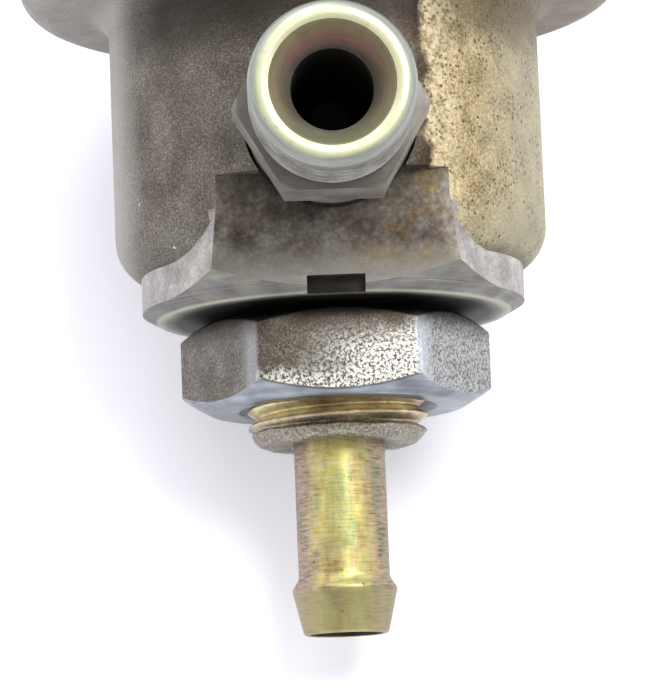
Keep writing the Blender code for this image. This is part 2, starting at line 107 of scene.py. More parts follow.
place = ORBIT_CENTRE + DISTANCE * Vector((
    math.sin(AZIMUTH) * math.cos(ELEVATION),
    -math.cos(AZIMUTH) * math.cos(ELEVATION), math.sin(ELEVATION)))
forward = (AIM - place).normalized()
level_right = forward.cross(Vector((0, 0, 1))).normalized()
level_up = level_right.cross(forward)
right = math.cos(ROLL) * level_right - math.sin(ROLL) * level_up
up = math.sin(ROLL) * level_right + math.cos(ROLL) * level_up
camera_data = bpy.data.cameras.new("camera")
camera_data.lens = LENS
camera_data.clip_start = 0.01
camera = bpy.data.objects.new("camera", camera_data)
camera.matrix_world = (Matrix.Translation(place * MM)
                       @ Matrix((right, up, -forward)).transposed().to_4x4())
bpy.context.scene.collection.objects.link(camera)
bpy.context.scene.camera = camera
print("camera at", [round(v, 1) for v in place])

# %% [markdown]
# ## Tools of the workshop
# Most pieces here are turned, so a lathe comes first. In Blender a turned piece can be a
# Screw modifier on a curve, a cylinder whose rings are scaled one by one, or a profile
# that is spun. Spinning is used here, because the profile is then the maker's own drawing:
# a list of radius and height. Each corner gets its small radius from a Bevel modifier.

# %% Selection helpers
def select_none():
    """Leave edit mode and deselect, so that an operator acts on one piece only."""
    if bpy.context.object and bpy.context.object.mode != "OBJECT":
        bpy.ops.object.mode_set(mode="OBJECT")
    bpy.ops.object.select_all(action="DESELECT")


def pick(obj):
    select_none()
    obj.select_set(True)
    bpy.context.view_layer.objects.active = obj


def apply_all(obj):
    """Apply the modifiers in their order."""
    pick(obj)
    for mod in list(obj.modifiers):
        bpy.ops.object.modifier_apply(modifier=mod.name)


# %% Draw a line, and spin it on a lathe
def draw_line(name, points, closed):
    """Extrude one vertex from point to point; the points are in millimetres."""
    select_none()
    bpy.ops.mesh.primitive_plane_add(size=MM, location=(0, 0, 0))
    obj = bpy.context.object
    obj.name = obj.data.name = name
    bpy.ops.object.mode_set(mode="EDIT")
    bpy.ops.mesh.select_all(action="SELECT")
    bpy.ops.mesh.merge(type="CENTER")
    bpy.ops.transform.translate(value=[v * MM for v in points[0]])
    for before, after in zip(points, points[1:] + points[:1] if closed else points[1:]):
        step = [(b - a) * MM for a, b in zip(before, after)]
        bpy.ops.mesh.extrude_region_move(TRANSFORM_OT_translate={"value": step})
    bpy.ops.mesh.select_all(action="SELECT")
    if closed:
        bpy.ops.mesh.remove_doubles(threshold=2e-6)
        bpy.ops.mesh.select_all(action="SELECT")
    return obj


def turn_outwards(obj):
    """Let every face look outwards, and leave edit mode."""
    bpy.ops.mesh.select_all(action="SELECT")
    bpy.ops.mesh.normals_make_consistent(inside=False)
    bpy.ops.object.mode_set(mode="OBJECT")
    return obj


def lathe(name, stations, steps=128, closed=True):
    """Spin a profile round Z. Stations are (radius, height) pairs in millimetres.

    A profile that isn't closed starts and ends on the axis.
    """
    obj = draw_line(name, [(radius, 0, height) for radius, height in stations], closed)
    bpy.ops.mesh.spin(steps=steps, angle=math.tau, center=(0, 0, 0), axis=(0, 0, 1))
    bpy.ops.mesh.select_all(action="SELECT")
    bpy.ops.mesh.remove_doubles(threshold=2e-6)
    return turn_outwards(obj)


def curve_of(centre, radius, start, end, steps):
    """Stations along an arc; angles in degrees."""
    turns = np.radians(np.linspace(start, end, steps + 1))
    return [(centre[0] + radius * math.cos(t), centre[1] + radius * math.sin(t)) for t in turns]


# %% Edge breaking, smoothing and moving
def break_edges(obj, width, angle=30, segments=2):
    """Real edges are never knife-sharp: round every corner over the given angle."""
    mod = obj.modifiers.new("edge_radius", "BEVEL")
    mod.width = width * MM
    mod.segments = segments
    mod.limit_method = "ANGLE"
    mod.angle_limit = math.radians(angle)
    mod.harden_normals = False
    apply_all(obj)


def smooth(obj, angle=35):
    pick(obj)
    bpy.ops.object.shade_smooth_by_angle(angle=math.radians(angle))


def bake_place(obj, matrix):
    """Move the mesh itself, so that the object stays at the origin."""
    obj.data.transform(matrix)
    obj.data.update()


def combine(target, tool, operation):
    """Boolean one piece with a tool, then throw the tool away."""
    mod = target.modifiers.new(tool.name, "BOOLEAN")
    mod.operation = operation
    mod.solver = "EXACT"
    mod.object = tool
    apply_all(target)
    bpy.data.objects.remove(tool)


ALONG_INLET = Matrix.Translation((0, 0, PORT_Z * MM)) @ Matrix.Rotation(math.radians(90), 4, "X")
print("tools ready")

# %% [markdown]
# ## Threads
# A screw thread is one groove that climbs by its pitch in each turn. It could be made with
# a Screw modifier, but its open ends then need joining to the shank. Here the lathe leaves
# many close rings where the thread goes, and each vertex is pushed inwards by its place on
# the helix. The mesh stays closed, and the groove can fade out at both ends as a die
# leaves it.

# %% Cut a helical thread into close rings
THREAD_RINGS = 20      # rings in each pitch


def thread_rings(radius, start, end):
    count = int(round(abs(end - start) / PITCH * THREAD_RINGS))
    return [(radius, z) for z in np.linspace(start, end, count + 1)]


def cut_thread(obj, crest, low, high, fade=0.8, depth=THREAD_DEPTH):
    """Push the vertices between two heights onto a 60 degree V with a flat crest."""
    points = np.empty(len(obj.data.vertices) * 3)
    obj.data.vertices.foreach_get("co", points)
    points = points.reshape(-1, 3) / MM
    radius = np.hypot(points[:, 0], points[:, 1])
    angle = np.arctan2(points[:, 1], points[:, 0]) / math.tau
    climb = (points[:, 2] / PITCH - angle) % 1.0
    groove = np.clip(1.15 - np.abs(climb - 0.5) * 2.6, 0.0, 1.0)
    ends = np.minimum(points[:, 2] - low, high - points[:, 2]) / fade
    on_thread = (radius > crest - 0.35) & (ends > 0)
    wanted = crest - depth * groove * np.clip(ends, 0.0, 1.0)
    scale = np.where(on_thread, np.minimum(wanted / radius, 1.0), 1.0)
    points[:, 0] *= scale
    points[:, 1] *= scale
    obj.data.vertices.foreach_set("co", (points * MM).ravel())
    obj.data.update()
    print(obj.name, "thread vertices moved:", int(on_thread.sum()))


# %% [markdown]
# ## The lower housing
# The can, its collar and the front block are one piece: the can and collar are turned, the
# block is forged on, and a mill has cut a flat across its front for the inlet. A block
# could be pulled out of the can's own faces, but its flanks run tangent to the collar and
# would cut across the can's rings. So the block is a separate prism, joined by a Boolean
# union, and the milled flat, the notch and the bores are cut afterwards, as the maker did.

# %% Turn the can
CAN_R = 19.3
COLLAR_R = 17.1
FOOT_RADIUS = 4.0
FOOT_Z = 3.5
FLANGE_Z = 28.1
FILLET = 2.2
RIM_LOW, RIM_HIGH = 3.0, 2.0     # the rounds of the flange's rim
SEAT_R = 15.6          # where the collar's chamfer starts on the seat
SEAT_RISE = 0.84       # how high the chamfer ends on the collar

foot = CAN_R - FOOT_RADIUS
foot_start = -math.degrees(math.acos((COLLAR_R - foot) / FOOT_RADIUS))
outline = [(0, SEAT_Z), (SEAT_R, SEAT_Z), (COLLAR_R, SEAT_RISE)]
outline += curve_of((foot, FOOT_Z + FOOT_RADIUS), FOOT_RADIUS, foot_start, 0, 14)
outline += curve_of((CAN_R + FILLET, FLANGE_Z - FILLET), FILLET, 180, 90, 10)
outline += curve_of((FLANGE_R - RIM_LOW, FLANGE_Z + RIM_LOW), RIM_LOW, -90, 0, 12)
outline += curve_of((FLANGE_R - RIM_HIGH, CRIMP_Z - RIM_HIGH), RIM_HIGH, 0, 90, 10)
outline += [(15.0, CRIMP_Z), (0, CRIMP_Z)]
housing = lathe("housing_body", outline, steps=160, closed=False)
print("can faces:", len(housing.data.polygons))

# %% [markdown]
# The block is a prism whose outline is drawn from above: a front edge and two flanks that
# meet the collar at a tangent. The outline is filled and extruded to its height, and its
# upper corners move in a little for the forging draft. A turned cone cuts the lower
# corners, because the collar's chamfer was turned right across the block.

# %% Forge the front block
FLAT_Y = 16.5
BLOCK_TOP = 10.3
HALF_TOP = 9.8
HALF_FOOT = 10.8
STOCK = 0.7            # what the mill takes off the front


def block_corners(half):
    """Corner points of the block at one height, from the front edge to the tangents."""
    corner = Vector((half, -FLAT_Y))
    tangent_r = COLLAR_R - 0.08
    spread = math.atan2(corner.y, corner.x) + math.acos(tangent_r / corner.length)
    tangent = Vector((tangent_r * math.cos(spread), tangent_r * math.sin(spread)))
    lean = (corner.x - tangent.x) / (corner.y - tangent.y)
    edge = half - lean * STOCK
    front = -FLAT_Y - STOCK
    return [(-edge, front), (edge, front), tuple(tangent), (0, 0), (-tangent.x, tangent.y)]


def prism(name, low_outline, high_outline, low, high):
    """Fill an outline and extrude it; each end's corners go to their own outline."""
    obj = draw_line(name, [(x, y, low) for x, y in low_outline], closed=True)
    bpy.ops.mesh.edge_face_add()
    bpy.ops.mesh.extrude_region_move(TRANSFORM_OT_translate={"value": (0, 0, (high - low) * MM)})
    bpy.ops.object.mode_set(mode="OBJECT")
    for vert in obj.data.vertices:
        near = min(range(len(low_outline)), key=lambda i: math.dist(
            low_outline[i], (vert.co.x / MM, vert.co.y / MM)))
        corner = (high_outline if vert.co.z / MM > (low + high) / 2 else low_outline)[near]
        vert.co.x, vert.co.y = corner[0] * MM, corner[1] * MM
    bpy.ops.object.mode_set(mode="EDIT")
    return turn_outwards(obj)


block = prism("front_block", block_corners(HALF_FOOT), block_corners(HALF_TOP),
              SEAT_RISE + 0.05, BLOCK_TOP)
slope = SEAT_RISE / (COLLAR_R - SEAT_R)
envelope = lathe("turning_envelope", [
    (0, -1), (SEAT_R - 1 / slope, -1), (22, (22 - SEAT_R) * slope),
    (22, BLOCK_TOP + 1), (0, BLOCK_TOP + 1)], steps=160, closed=False)
combine(block, envelope, "INTERSECT")
combine(housing, block, "UNION")
print("with block:", len(housing.data.polygons))

# %% [markdown]
# The flat is milled in one pass: straight below, and round about the inlet above, where
# the cutter ran into the can. The notch at the foot of the flat is a locating slot.

# %% Mill the flat and the notch
SPOTFACE_R = 7.5
NOTCH_HALF = 2.5
NOTCH_TOP = 1.4
NOTCH_DEPTH = 1.4

wide = HALF_FOOT + 3
shoulder = BLOCK_TOP + 0.1
start = -math.degrees(math.asin((PORT_Z - shoulder) / SPOTFACE_R))
mill_outline = [(-wide, shoulder), (-wide, -3), (wide, -3), (wide, shoulder)]
mill_outline += curve_of((0, PORT_Z), SPOTFACE_R, start, 180 - start, 48)
mill = prism("mill", mill_outline, mill_outline, FLAT_Y, FLAT_Y + 6)
bake_place(mill, Matrix.Rotation(math.radians(90), 4, "X"))
combine(housing, mill, "DIFFERENCE")

notch_outline = [(-NOTCH_HALF, -FLAT_Y - 2), (NOTCH_HALF, -FLAT_Y - 2),
                 (NOTCH_HALF, -FLAT_Y + NOTCH_DEPTH), (-NOTCH_HALF, -FLAT_Y + NOTCH_DEPTH)]
notch = prism("notch", notch_outline, notch_outline, -1, NOTCH_TOP)
combine(housing, notch, "DIFFERENCE")
print("with flat and notch:", len(housing.data.polygons))

# %% Bore the inside and the inlet hole
STUD_R = 8.0
STUD_HOLE_R = STUD_R + 0.25
CHAMBER_R, CHAMBER_Z = 9.5, 8.1
POCKET_R, POCKET_Z = 16.3, 23.1
CRIMP_LIP_R = 23.2
SHELL = 1.3            # the crimp's wall
SHANK_HOLE_R = 6.0
SHANK_STOP = 10.9      # how near the axis the fitting's hole comes
BORE_R = 3.45          # of the inlet's passage

inside = lathe("inside", [
    (0, -1), (STUD_HOLE_R, -1), (STUD_HOLE_R, CHAMBER_Z), (CHAMBER_R, CHAMBER_Z),
    (CHAMBER_R, POCKET_Z), (POCKET_R, POCKET_Z), (POCKET_R, FLANGE_Z + 2),
    (FLANGE_R - SHELL, FLANGE_Z + 2), (FLANGE_R - SHELL, CRIMP_Z - SHELL),
    (CRIMP_LIP_R, CRIMP_Z - SHELL), (CRIMP_LIP_R, CRIMP_Z + 1), (0, CRIMP_Z + 1)],
    steps=160, closed=False)
combine(housing, inside, "DIFFERENCE")
inlet_hole = lathe("inlet_hole", [
    (0, 7.5), (BORE_R, 7.5), (BORE_R, SHANK_STOP), (SHANK_HOLE_R, SHANK_STOP),
    (SHANK_HOLE_R, 24), (0, 24)], steps=64, closed=False)
bake_place(inlet_hole, ALONG_INLET)
combine(housing, inlet_hole, "DIFFERENCE")
pick(housing)
bpy.ops.object.mode_set(mode="EDIT")
bpy.ops.mesh.select_all(action="SELECT")
bpy.ops.mesh.remove_doubles(threshold=5e-6)
bpy.ops.object.mode_set(mode="OBJECT")
break_edges(housing, 0.22, angle=25, segments=2)
smooth(housing, 40)
print("housing faces:", len(housing.data.polygons))
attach(housing, "housing")
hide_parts("lower_housing")

# %% [markdown]
# ## The inlet fitting
# A union is turned from hexagon bar: the hexagon is what is left of the bar between the
# threaded nose and the neck. It is modelled the other way round, because a hexagon is
# easier to add than to leave: the turned body is joined with a six-sided cylinder whose
# corners a cone has trimmed. The 60 degree cone in the nose is where the pipe seals.

# %% Turn the body of the fitting
NOSE_R = 7.0
NOSE_LENGTH = 7.8
CONE_R = 5.3
CONE_HALF_ANGLE = math.radians(30)
HEX_FRONT = 25.4
HEX_BACK = 20.0
HEX_AF = 14.5
NECK_R = 7.2
NECK_BACK = 18.1
SHANK_R, SHANK_END = 5.7, 11.2
UNDERCUT_R = 6.1       # where the thread runs out

thread_foot = LIP_Y - NOSE_LENGTH
profile = [(0, SHANK_END), (SHANK_R, SHANK_END), (SHANK_R, NECK_BACK), (NECK_R, NECK_BACK),
           (NECK_R, HEX_BACK + 0.5), (UNDERCUT_R, HEX_BACK + 0.8),
           (UNDERCUT_R, thread_foot - 0.5)]
profile += thread_rings(NOSE_R, thread_foot, LIP_Y - 0.9)
profile += [(6.75, LIP_Y - 0.4), (6.5, LIP_Y - 0.18), (6.2, LIP_Y - 0.05), (5.95, LIP_Y),
            (5.7, LIP_Y), (5.5, LIP_Y - 0.06), (CONE_R, LIP_Y - 0.2), (0, LIP_Y - 0.2)]
fitting = lathe("inlet_union", profile, steps=128, closed=False)
cut_thread(fitting, NOSE_R, thread_foot - 0.2, LIP_Y - 1.6, fade=0.9)

# %% Trim a hexagon and join it
bar_r = HEX_AF / math.sqrt(3)
select_none()
bpy.ops.mesh.primitive_cylinder_add(
    vertices=6, radius=bar_r * MM, depth=(HEX_FRONT - HEX_BACK) * MM, location=(0, 0, 0))
bar = bpy.context.object
bake_place(bar, Matrix.Translation((0, 0, (HEX_FRONT + HEX_BACK) / 2 * MM))
           @ Matrix.Rotation(math.radians(30), 4, "Z"))
trim = lathe("trim", [
    (0, HEX_BACK - 1), (bar_r + 1, HEX_BACK - 1), (bar_r + 1, HEX_FRONT - 0.7),
    (HEX_AF / 2 - 0.1, HEX_FRONT + 0.2), (0, HEX_FRONT + 0.2)], steps=96, closed=False)
combine(bar, trim, "INTERSECT")
combine(fitting, bar, "UNION")
cone_foot = LIP_Y - 0.2 - (CONE_R - BORE_R) / math.tan(CONE_HALF_ANGLE)
mouth_r = CONE_R - 0.02          # just inside the lip, so that the cut leaves no sliver
drill = lathe("drill", [(0, 10), (BORE_R, 10), (BORE_R, cone_foot), (mouth_r, LIP_Y - 0.2),
                        (mouth_r, LIP_Y + 1), (0, LIP_Y + 1)], steps=128, closed=False)
combine(fitting, drill, "DIFFERENCE")
bake_place(fitting, ALONG_INLET)
smooth(fitting, 38)
print("fitting faces:", len(fitting.data.polygons))
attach(fitting, "housing")
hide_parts("inlet_fitting")

# %% The sealing washer behind the neck
WASHER_R, WASHER_HOLE_R = 7.35, 6.0
WASHER_BACK, WASHER_FRONT = 16.8, 17.8
washer = lathe("sealing_washer", [
    (WASHER_HOLE_R, WASHER_BACK), (WASHER_R, WASHER_BACK), (WASHER_R, WASHER_FRONT),
    (WASHER_HOLE_R, WASHER_FRONT)], steps=96)
break_edges(washer, 0.18)
bake_place(washer, ALONG_INLET)
smooth(washer)
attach(washer, "housing")
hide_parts("inlet_washer")
print("washer faces:", len(washer.data.polygons))

# %% [markdown]
# ## The bracket stud
# The stud is turned and threaded M16x1.5. Its lower end is chamfered and staked round the
# hose tail, which leaves a rough, slightly torn rim. The lathe makes the shape, the helix
# comes next, and then the rim's vertices are pushed about by a smooth wave of about a
# tenth of a millimetre, so that no two spots look alike.

# %% Turn and thread the stud
STEM_R = 4.05
STUD_BORE = STEM_R + 0.12
RELIEF_R = 7.15        # the groove where the thread ends
HEAD_R, HEAD_LOW, HEAD_TOP = 9.1, 9.3, 11.3
stud_profile = [(STUD_BORE, STUD_END + 0.5), (4.6, STUD_END + 0.35), (5.1, STUD_END),
                (5.8, STUD_END), (6.5, STUD_END), (7.0, STUD_END + 0.15),
                (7.45, STUD_END + 0.55), (7.9, STUD_END + 1.1)]
stud_profile += thread_rings(STUD_R, STUD_END + 1.35, -0.8)
stud_profile += [(RELIEF_R, -0.7), (RELIEF_R, -0.3), (STUD_R, -0.15), (STUD_R, HEAD_LOW),
                 (HEAD_R, HEAD_LOW), (HEAD_R, HEAD_TOP), (STUD_BORE, HEAD_TOP)]
stud = lathe("threaded_stud", stud_profile, steps=144)
cut_thread(stud, STUD_R, STUD_END + 0.9, -0.5, fade=0.6)

# %% Stake the stud's rim
rim = [v for v in stud.data.vertices if v.co.z / MM < STUD_END + 1.2]
for vert in rim:
    turn = math.atan2(vert.co.y, vert.co.x)
    radius = math.hypot(vert.co.x, vert.co.y) / MM
    if radius > 5.0:
        wave = (math.sin(7 * turn + 0.6) + 0.7 * math.sin(13 * turn + 2.1)
                + 0.5 * math.sin(29 * turn + 4.0) + 0.4 * math.sin(47 * turn + radius * 3))
        vert.co.z += max(wave, -1.0) * 0.05 * MM
stud.data.update()
smooth(stud, 50)
print("stud faces:", len(stud.data.polygons), "rim vertices:", len(rim))
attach(stud, "housing")
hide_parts("outlet_stud")

# %% [markdown]
# ## The hose tail
# A tube with one barb. The barb's back is a short ramp, its crest a narrow land, and its
# nose a long cone that eases the hose on.

# %% Turn the hose tail
BARB_R = 4.65
BARB_Z = -24.5
TIP_R = 3.8
TAIL_BORE_R, TAIL_TOP = 3.0, 11.0
tail_profile = [(TAIL_BORE_R, STEM_END + 0.35), (3.3, STEM_END), (TIP_R - 0.2, STEM_END),
                (TIP_R, STEM_END + 0.2), (BARB_R - 0.05, BARB_Z - 0.15), (BARB_R, BARB_Z),
                (BARB_R - 0.02, BARB_Z + 0.28), (BARB_R - 0.3, BARB_Z + 0.7),
                (STEM_R + 0.06, BARB_Z + 1.15), (STEM_R, BARB_Z + 1.4)]
tail_profile += [(STEM_R, z) for z in np.linspace(BARB_Z + 2, STUD_END - 0.5, 6)]
tail_profile += [(STEM_R, TAIL_TOP), (TAIL_BORE_R, TAIL_TOP)]
tail = lathe("hose_tail", tail_profile, steps=128)
break_edges(tail, 0.07, angle=25)
smooth(tail, 30)
print("hose tail faces:", len(tail.data.polygons))
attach(tail, "housing")
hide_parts("hose_stem")

# %% [markdown]
# ## The lock nut
# A nut starts as a slice of hexagon bar. Both faces are turned with a shallow cone, which
# leaves a round face and the curved edges on the flats that every real nut has. The cone
# does the cutting here too: a double cone is intersected with the hexagon.

# %% Cut the nut from hexagon bar
NUT_AF = 24.0
NUT_FACE_R = 11.3
NUT_BORE_R, COUNTERSINK_R = 8.1, 9.9
nut_mid = (NUT_TOP + NUT_BOTTOM) / 2
NUT_TURN = math.radians(0.5)
select_none()
bpy.ops.mesh.primitive_cylinder_add(vertices=6, radius=NUT_AF / math.sqrt(3) * MM,
                                    depth=(NUT_TOP - NUT_BOTTOM) * MM, location=(0, 0, 0))
nut = bpy.context.object
nut.name = nut.data.name = "hex_nut"
bake_place(nut, Matrix.Translation((0, 0, nut_mid * MM))
           @ Matrix.Rotation(NUT_TURN + math.radians(30), 4, "Z"))
corner_r = NUT_AF / math.sqrt(3) + 0.4
drop = (corner_r - NUT_FACE_R) * math.tan(math.radians(30))
crown = lathe("crown", [
    (0, NUT_BOTTOM), (NUT_FACE_R, NUT_BOTTOM), (corner_r, NUT_BOTTOM + drop),
    (corner_r, NUT_TOP - drop), (NUT_FACE_R, NUT_TOP), (0, NUT_TOP)], steps=192, closed=False)
combine(nut, crown, "INTERSECT")
nut_bore = lathe("nut_bore", [
    (0, NUT_BOTTOM - 1), (COUNTERSINK_R, NUT_BOTTOM - 1), (NUT_BORE_R, NUT_BOTTOM + 0.8),
    (NUT_BORE_R, NUT_TOP - 0.8), (COUNTERSINK_R, NUT_TOP + 1), (0, NUT_TOP + 1)],
    steps=144, closed=False)
combine(nut, nut_bore, "DIFFERENCE")
break_edges(nut, 0.16, angle=18, segments=3)
smooth(nut, 30)
print("nut faces:", len(nut.data.polygons))
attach(nut, "lock_nut")
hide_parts("lock_nut")

# %% [markdown]
# ## The spring cover and the vent nipple
# The cover is drawn from sheet in one stroke, so its wall has one thickness and its
# corners are round. The nipple on top takes the thin hose that feeds the reference
# pressure to the spring side.

# %% Draw the cover
COVER_R = 17.6
WALL = 1.4
CORNER = 3.5
DISH = 0.35            # the shallow step round the nipple
CLAMP_R = 25.0         # how far out the crimp holds the cover and the diaphragm
cover_low = 31.7
cover_flange = cover_low + WALL
corner_centre = (COVER_R - CORNER, COVER_Z - CORNER)
cover_profile = [(COVER_R - WALL, cover_low), (CLAMP_R, cover_low), (CLAMP_R, cover_flange)]
cover_profile += curve_of((COVER_R + 1.5, cover_flange + 1.5), 1.5, -90, -180, 8)
cover_profile += curve_of(corner_centre, CORNER, 0, 90, 14)
cover_profile += [(8.2, COVER_Z), (7.4, COVER_Z - DISH), (4.6, COVER_Z - DISH),
                  (2.9, COVER_Z - DISH), (2.9, COVER_Z - WALL - 0.25),
                  (7.4, COVER_Z - WALL - 0.25), (8.2, COVER_Z - WALL)]
cover_profile += curve_of(corner_centre, CORNER - WALL, 90, 0, 10)
cover = lathe("drawn_cover", cover_profile, steps=160)
smooth(cover, 35)
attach(cover, "housing")
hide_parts("spring_cover")

# %% Turn the vent nipple
NIPPLE_BORE_R = 1.2
head_low, head_top = 52.6, 53.3      # under the cover's sheet
tip = top("vent_nipple")
nipple_profile = [(NIPPLE_BORE_R, head_low), (4.0, head_low), (4.0, head_top),
                  (2.6, head_top), (2.6, COVER_Z),
                  (3.8, COVER_Z), (3.8, COVER_Z + 0.9), (3.4, COVER_Z + 1.4),
                  (2.3, COVER_Z + 1.7), (2.1, COVER_Z + 2.2), (2.1, tip - 4.4), (2.15, tip - 3.6),
                  (2.6, tip - 3.1), (2.6, tip - 2.9), (1.9, tip - 0.15), (1.75, tip),
                  (1.35, tip), (NIPPLE_BORE_R, tip - 0.2)]
nipple = lathe("vent_tail", nipple_profile, steps=80)
break_edges(nipple, 0.08, angle=28)
smooth(nipple, 32)
print("cover faces:", len(cover.data.polygons), "nipple faces:", len(nipple.data.polygons))
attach(nipple, "housing")
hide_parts("vent_nipple")

# %% [markdown]
# ## The springs and the diaphragm
# A spring is a circle swept along a helix. A Screw modifier on a small circle does exactly
# that: its angle is the turns times 360 degrees, and its offset is the height climbed. The
# two open ends are then filled. The main spring and the diaphragm stay on the housing,
# though the valve pushes on them when it lifts; each of them gets a mesh of its own.


def wind(name, node, mean_r, wire_r, turns):
    """A coil between the node's own lowest and highest point."""
    low, high = bottom(node), top(node)
    select_none()
    bpy.ops.mesh.primitive_circle_add(vertices=16, radius=wire_r * MM, location=(0, 0, 0))
    obj = bpy.context.object
    obj.name = obj.data.name = name
    bake_place(obj, Matrix.Translation((mean_r * MM, 0, (low + wire_r) * MM))
               @ Matrix.Rotation(math.radians(90), 4, "X"))
    screw = obj.modifiers.new("winding", "SCREW")
    screw.angle = math.tau * turns
    screw.screw_offset = (high - low - 2 * wire_r) * MM
    screw.steps = screw.render_steps = int(40 * turns)
    screw.use_merge_vertices = False
    apply_all(obj)
    bpy.ops.object.mode_set(mode="EDIT")
    bpy.ops.mesh.select_all(action="SELECT")
    bpy.ops.mesh.fill_holes(sides=0)
    turn_outwards(obj)
    smooth(obj, 40)
    print(name, "faces:", len(obj.data.polygons))
    return obj


main_coil = wind("main_coil", "main_spring", mean_r=9.4, wire_r=1.25, turns=5.0)
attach(main_coil, "housing")
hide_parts("main_spring")
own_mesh(main_coil)

ball_coil = wind("ball_coil", "ball_spring", mean_r=2.9, wire_r=0.25, turns=2.5)
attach(ball_coil, "valve_group")
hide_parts("ball_spring")

# %% Mould the diaphragm
SHEET = 1.0
ROLL_IN, ROLL_OUT, ROLL_RISE = 12.9, 15.9, 1.4
SHEET_HOLE_R = 3.3
sheet_low = bottom("diaphragm")
roll_angles = np.linspace(0, math.tau, 25)
roll = [(ROLL_IN + (ROLL_OUT - ROLL_IN) * t / math.tau, ROLL_RISE * (1 - math.cos(t)) / 2)
        for t in roll_angles]
sheet_profile = [(SHEET_HOLE_R, sheet_low)] + [(r, sheet_low + rise) for r, rise in roll]
sheet_profile += [(CLAMP_R, sheet_low), (CLAMP_R, sheet_low + SHEET)]
sheet_profile += [(r, sheet_low + SHEET + rise) for r, rise in reversed(roll)]
sheet_profile += [(SHEET_HOLE_R, sheet_low + SHEET)]
membrane = lathe("rolled_diaphragm", sheet_profile, steps=128)
smooth(membrane, 40)
print("diaphragm faces:", len(membrane.data.polygons))
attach(membrane, "housing")
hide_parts("diaphragm")
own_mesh(membrane)

# %% [markdown]
# ## Finishes: the tools
# Every metal here has a plated or worn skin, and a skin is several patterns on top of each
# other: slow clouds of colour, fine grit, spots and runs of stain. A picture wrapped round
# each piece could show that too, but it would stretch on the turned shapes. Procedural
# patterns on Object coordinates are used instead: they run through the piece like grain
# through wood, so they have no seams and keep their real size. One function adds any node,
# and a few recipes name what the patterns mean on a plated part.

# %% Add a node with its settings and links
def srgb(code):
    """An sRGB hex value as the linear colour that a node wants."""
    parts = [int(code[i:i + 2], 16) / 255 for i in (0, 2, 4)]
    return tuple(p / 12.92 if p <= 0.04045 else ((p + 0.055) / 1.055) ** 2.4
                 for p in parts) + (1.0,)


def add(mat, kind, settings=None, links=None):
    """Add one node. A setting is a property or an input; hex text becomes a colour.

    A ramp's stops are (place, hex) pairs. A link joins an output, or a node's first live
    output, to the input named or numbered by its key.
    """
    node = mat.node_tree.nodes.new("ShaderNode" + kind)
    for key, value in (settings or {}).items():
        if key == "stops":
            band = node.color_ramp.elements
            band[0].position, band[0].color = value[0][0], srgb(value[0][1])
            band[1].position, band[1].color = value[-1][0], srgb(value[-1][1])
            for spot, code in value[1:-1]:
                band.new(spot).color = srgb(code)
        elif isinstance(key, int) or key in node.inputs:
            node.inputs[key].default_value = srgb(value) if isinstance(value, str) else value
        else:
            setattr(node, key, value)
    for key, source in (links or {}).items():
        if isinstance(source, bpy.types.Node):
            source = next(out for out in source.outputs if out.enabled)
        mat.node_tree.links.new(source, node.inputs[key])
    return node


def new_finish(name, metallic, roughness, fixed=None):
    """A material with its constant values on the shader's own sockets."""
    mat = bpy.data.materials.new(name)
    mat.use_nodes = True
    shader = mat.node_tree.nodes["Principled BSDF"]
    shader.inputs["Metallic"].default_value = metallic
    shader.inputs["Roughness"].default_value = roughness
    for key, value in (fixed or {}).items():
        shader.inputs[key].default_value = value
    return mat


def wire_up(mat, colour, *bumps):
    """Join the colour to the shader, with bumps of (pattern, depth in mm, strength)."""
    shader = mat.node_tree.nodes["Principled BSDF"]
    out = next(o for o in colour.outputs if o.enabled)
    mat.node_tree.links.new(out, shader.inputs["Base Color"])
    under = None
    for pattern, depth, strength in bumps:
        links = {"Height": pattern, "Normal": under} if under else {"Height": pattern}
        under = add(mat, "Bump", {"Strength": strength, "Distance": depth * MM}, links)
    if under:
        mat.node_tree.links.new(under.outputs["Normal"], shader.inputs["Normal"])
    print(mat.name, "nodes:", len(mat.node_tree.nodes))
    return mat


print("one node adder ready")

# %% Recipes that name what a pattern means
BLACK, WHITE = "000000", "ffffff"


def tones(dark, middle, light, spread=0.2):
    """Three stops of a ramp, spread to either side of its middle."""
    return [(0.5 - spread, dark), (0.5, middle), (0.5 + spread, light)]


def clouds(mat, grain, stops, stretch=(1, 1, 1), shift=0.0, detail=3.0, fine=0.55):
    """Noise whose patches measure grain in mm, spread over the stops of a ramp.

    A stretch below 1 draws the patches out along that axis.
    """
    where = add(mat, "TexCoord")
    placed = add(mat, "Mapping", {"Location": (shift * MM, shift * 2 * MM, -shift * MM),
                                  "Scale": stretch}, {"Vector": where.outputs["Object"]})
    noise = add(mat, "TexNoise", {"Scale": 1 / (grain * MM), "Detail": detail,
                                  "Roughness": fine}, {"Vector": placed})
    return add(mat, "ValToRGB", {"stops": stops}, {"Fac": noise})


def spots(mat, spacing, size, shift=0.0, share=0.5):
    """Round pits a given spacing apart, in mm; only a share of the places has one."""
    where = add(mat, "TexCoord")
    placed = add(mat, "Mapping", {"Location": (shift * MM, 0, shift * MM)},
                 {"Vector": where.outputs["Object"]})
    cells = add(mat, "TexVoronoi", {"Scale": 1 / (spacing * MM)}, {"Vector": placed})
    near = add(mat, "MapRange", {"From Min": size / spacing, "From Max": size / spacing * 0.5},
               {"Value": cells.outputs["Distance"]})
    lottery = add(mat, "SeparateXYZ", {}, {0: cells.outputs["Color"]})
    chosen = add(mat, "Math", {"operation": "LESS_THAN", 1: share}, {0: lottery.outputs["X"]})
    return add(mat, "Math", {"operation": "MULTIPLY"}, {0: near, 1: chosen})


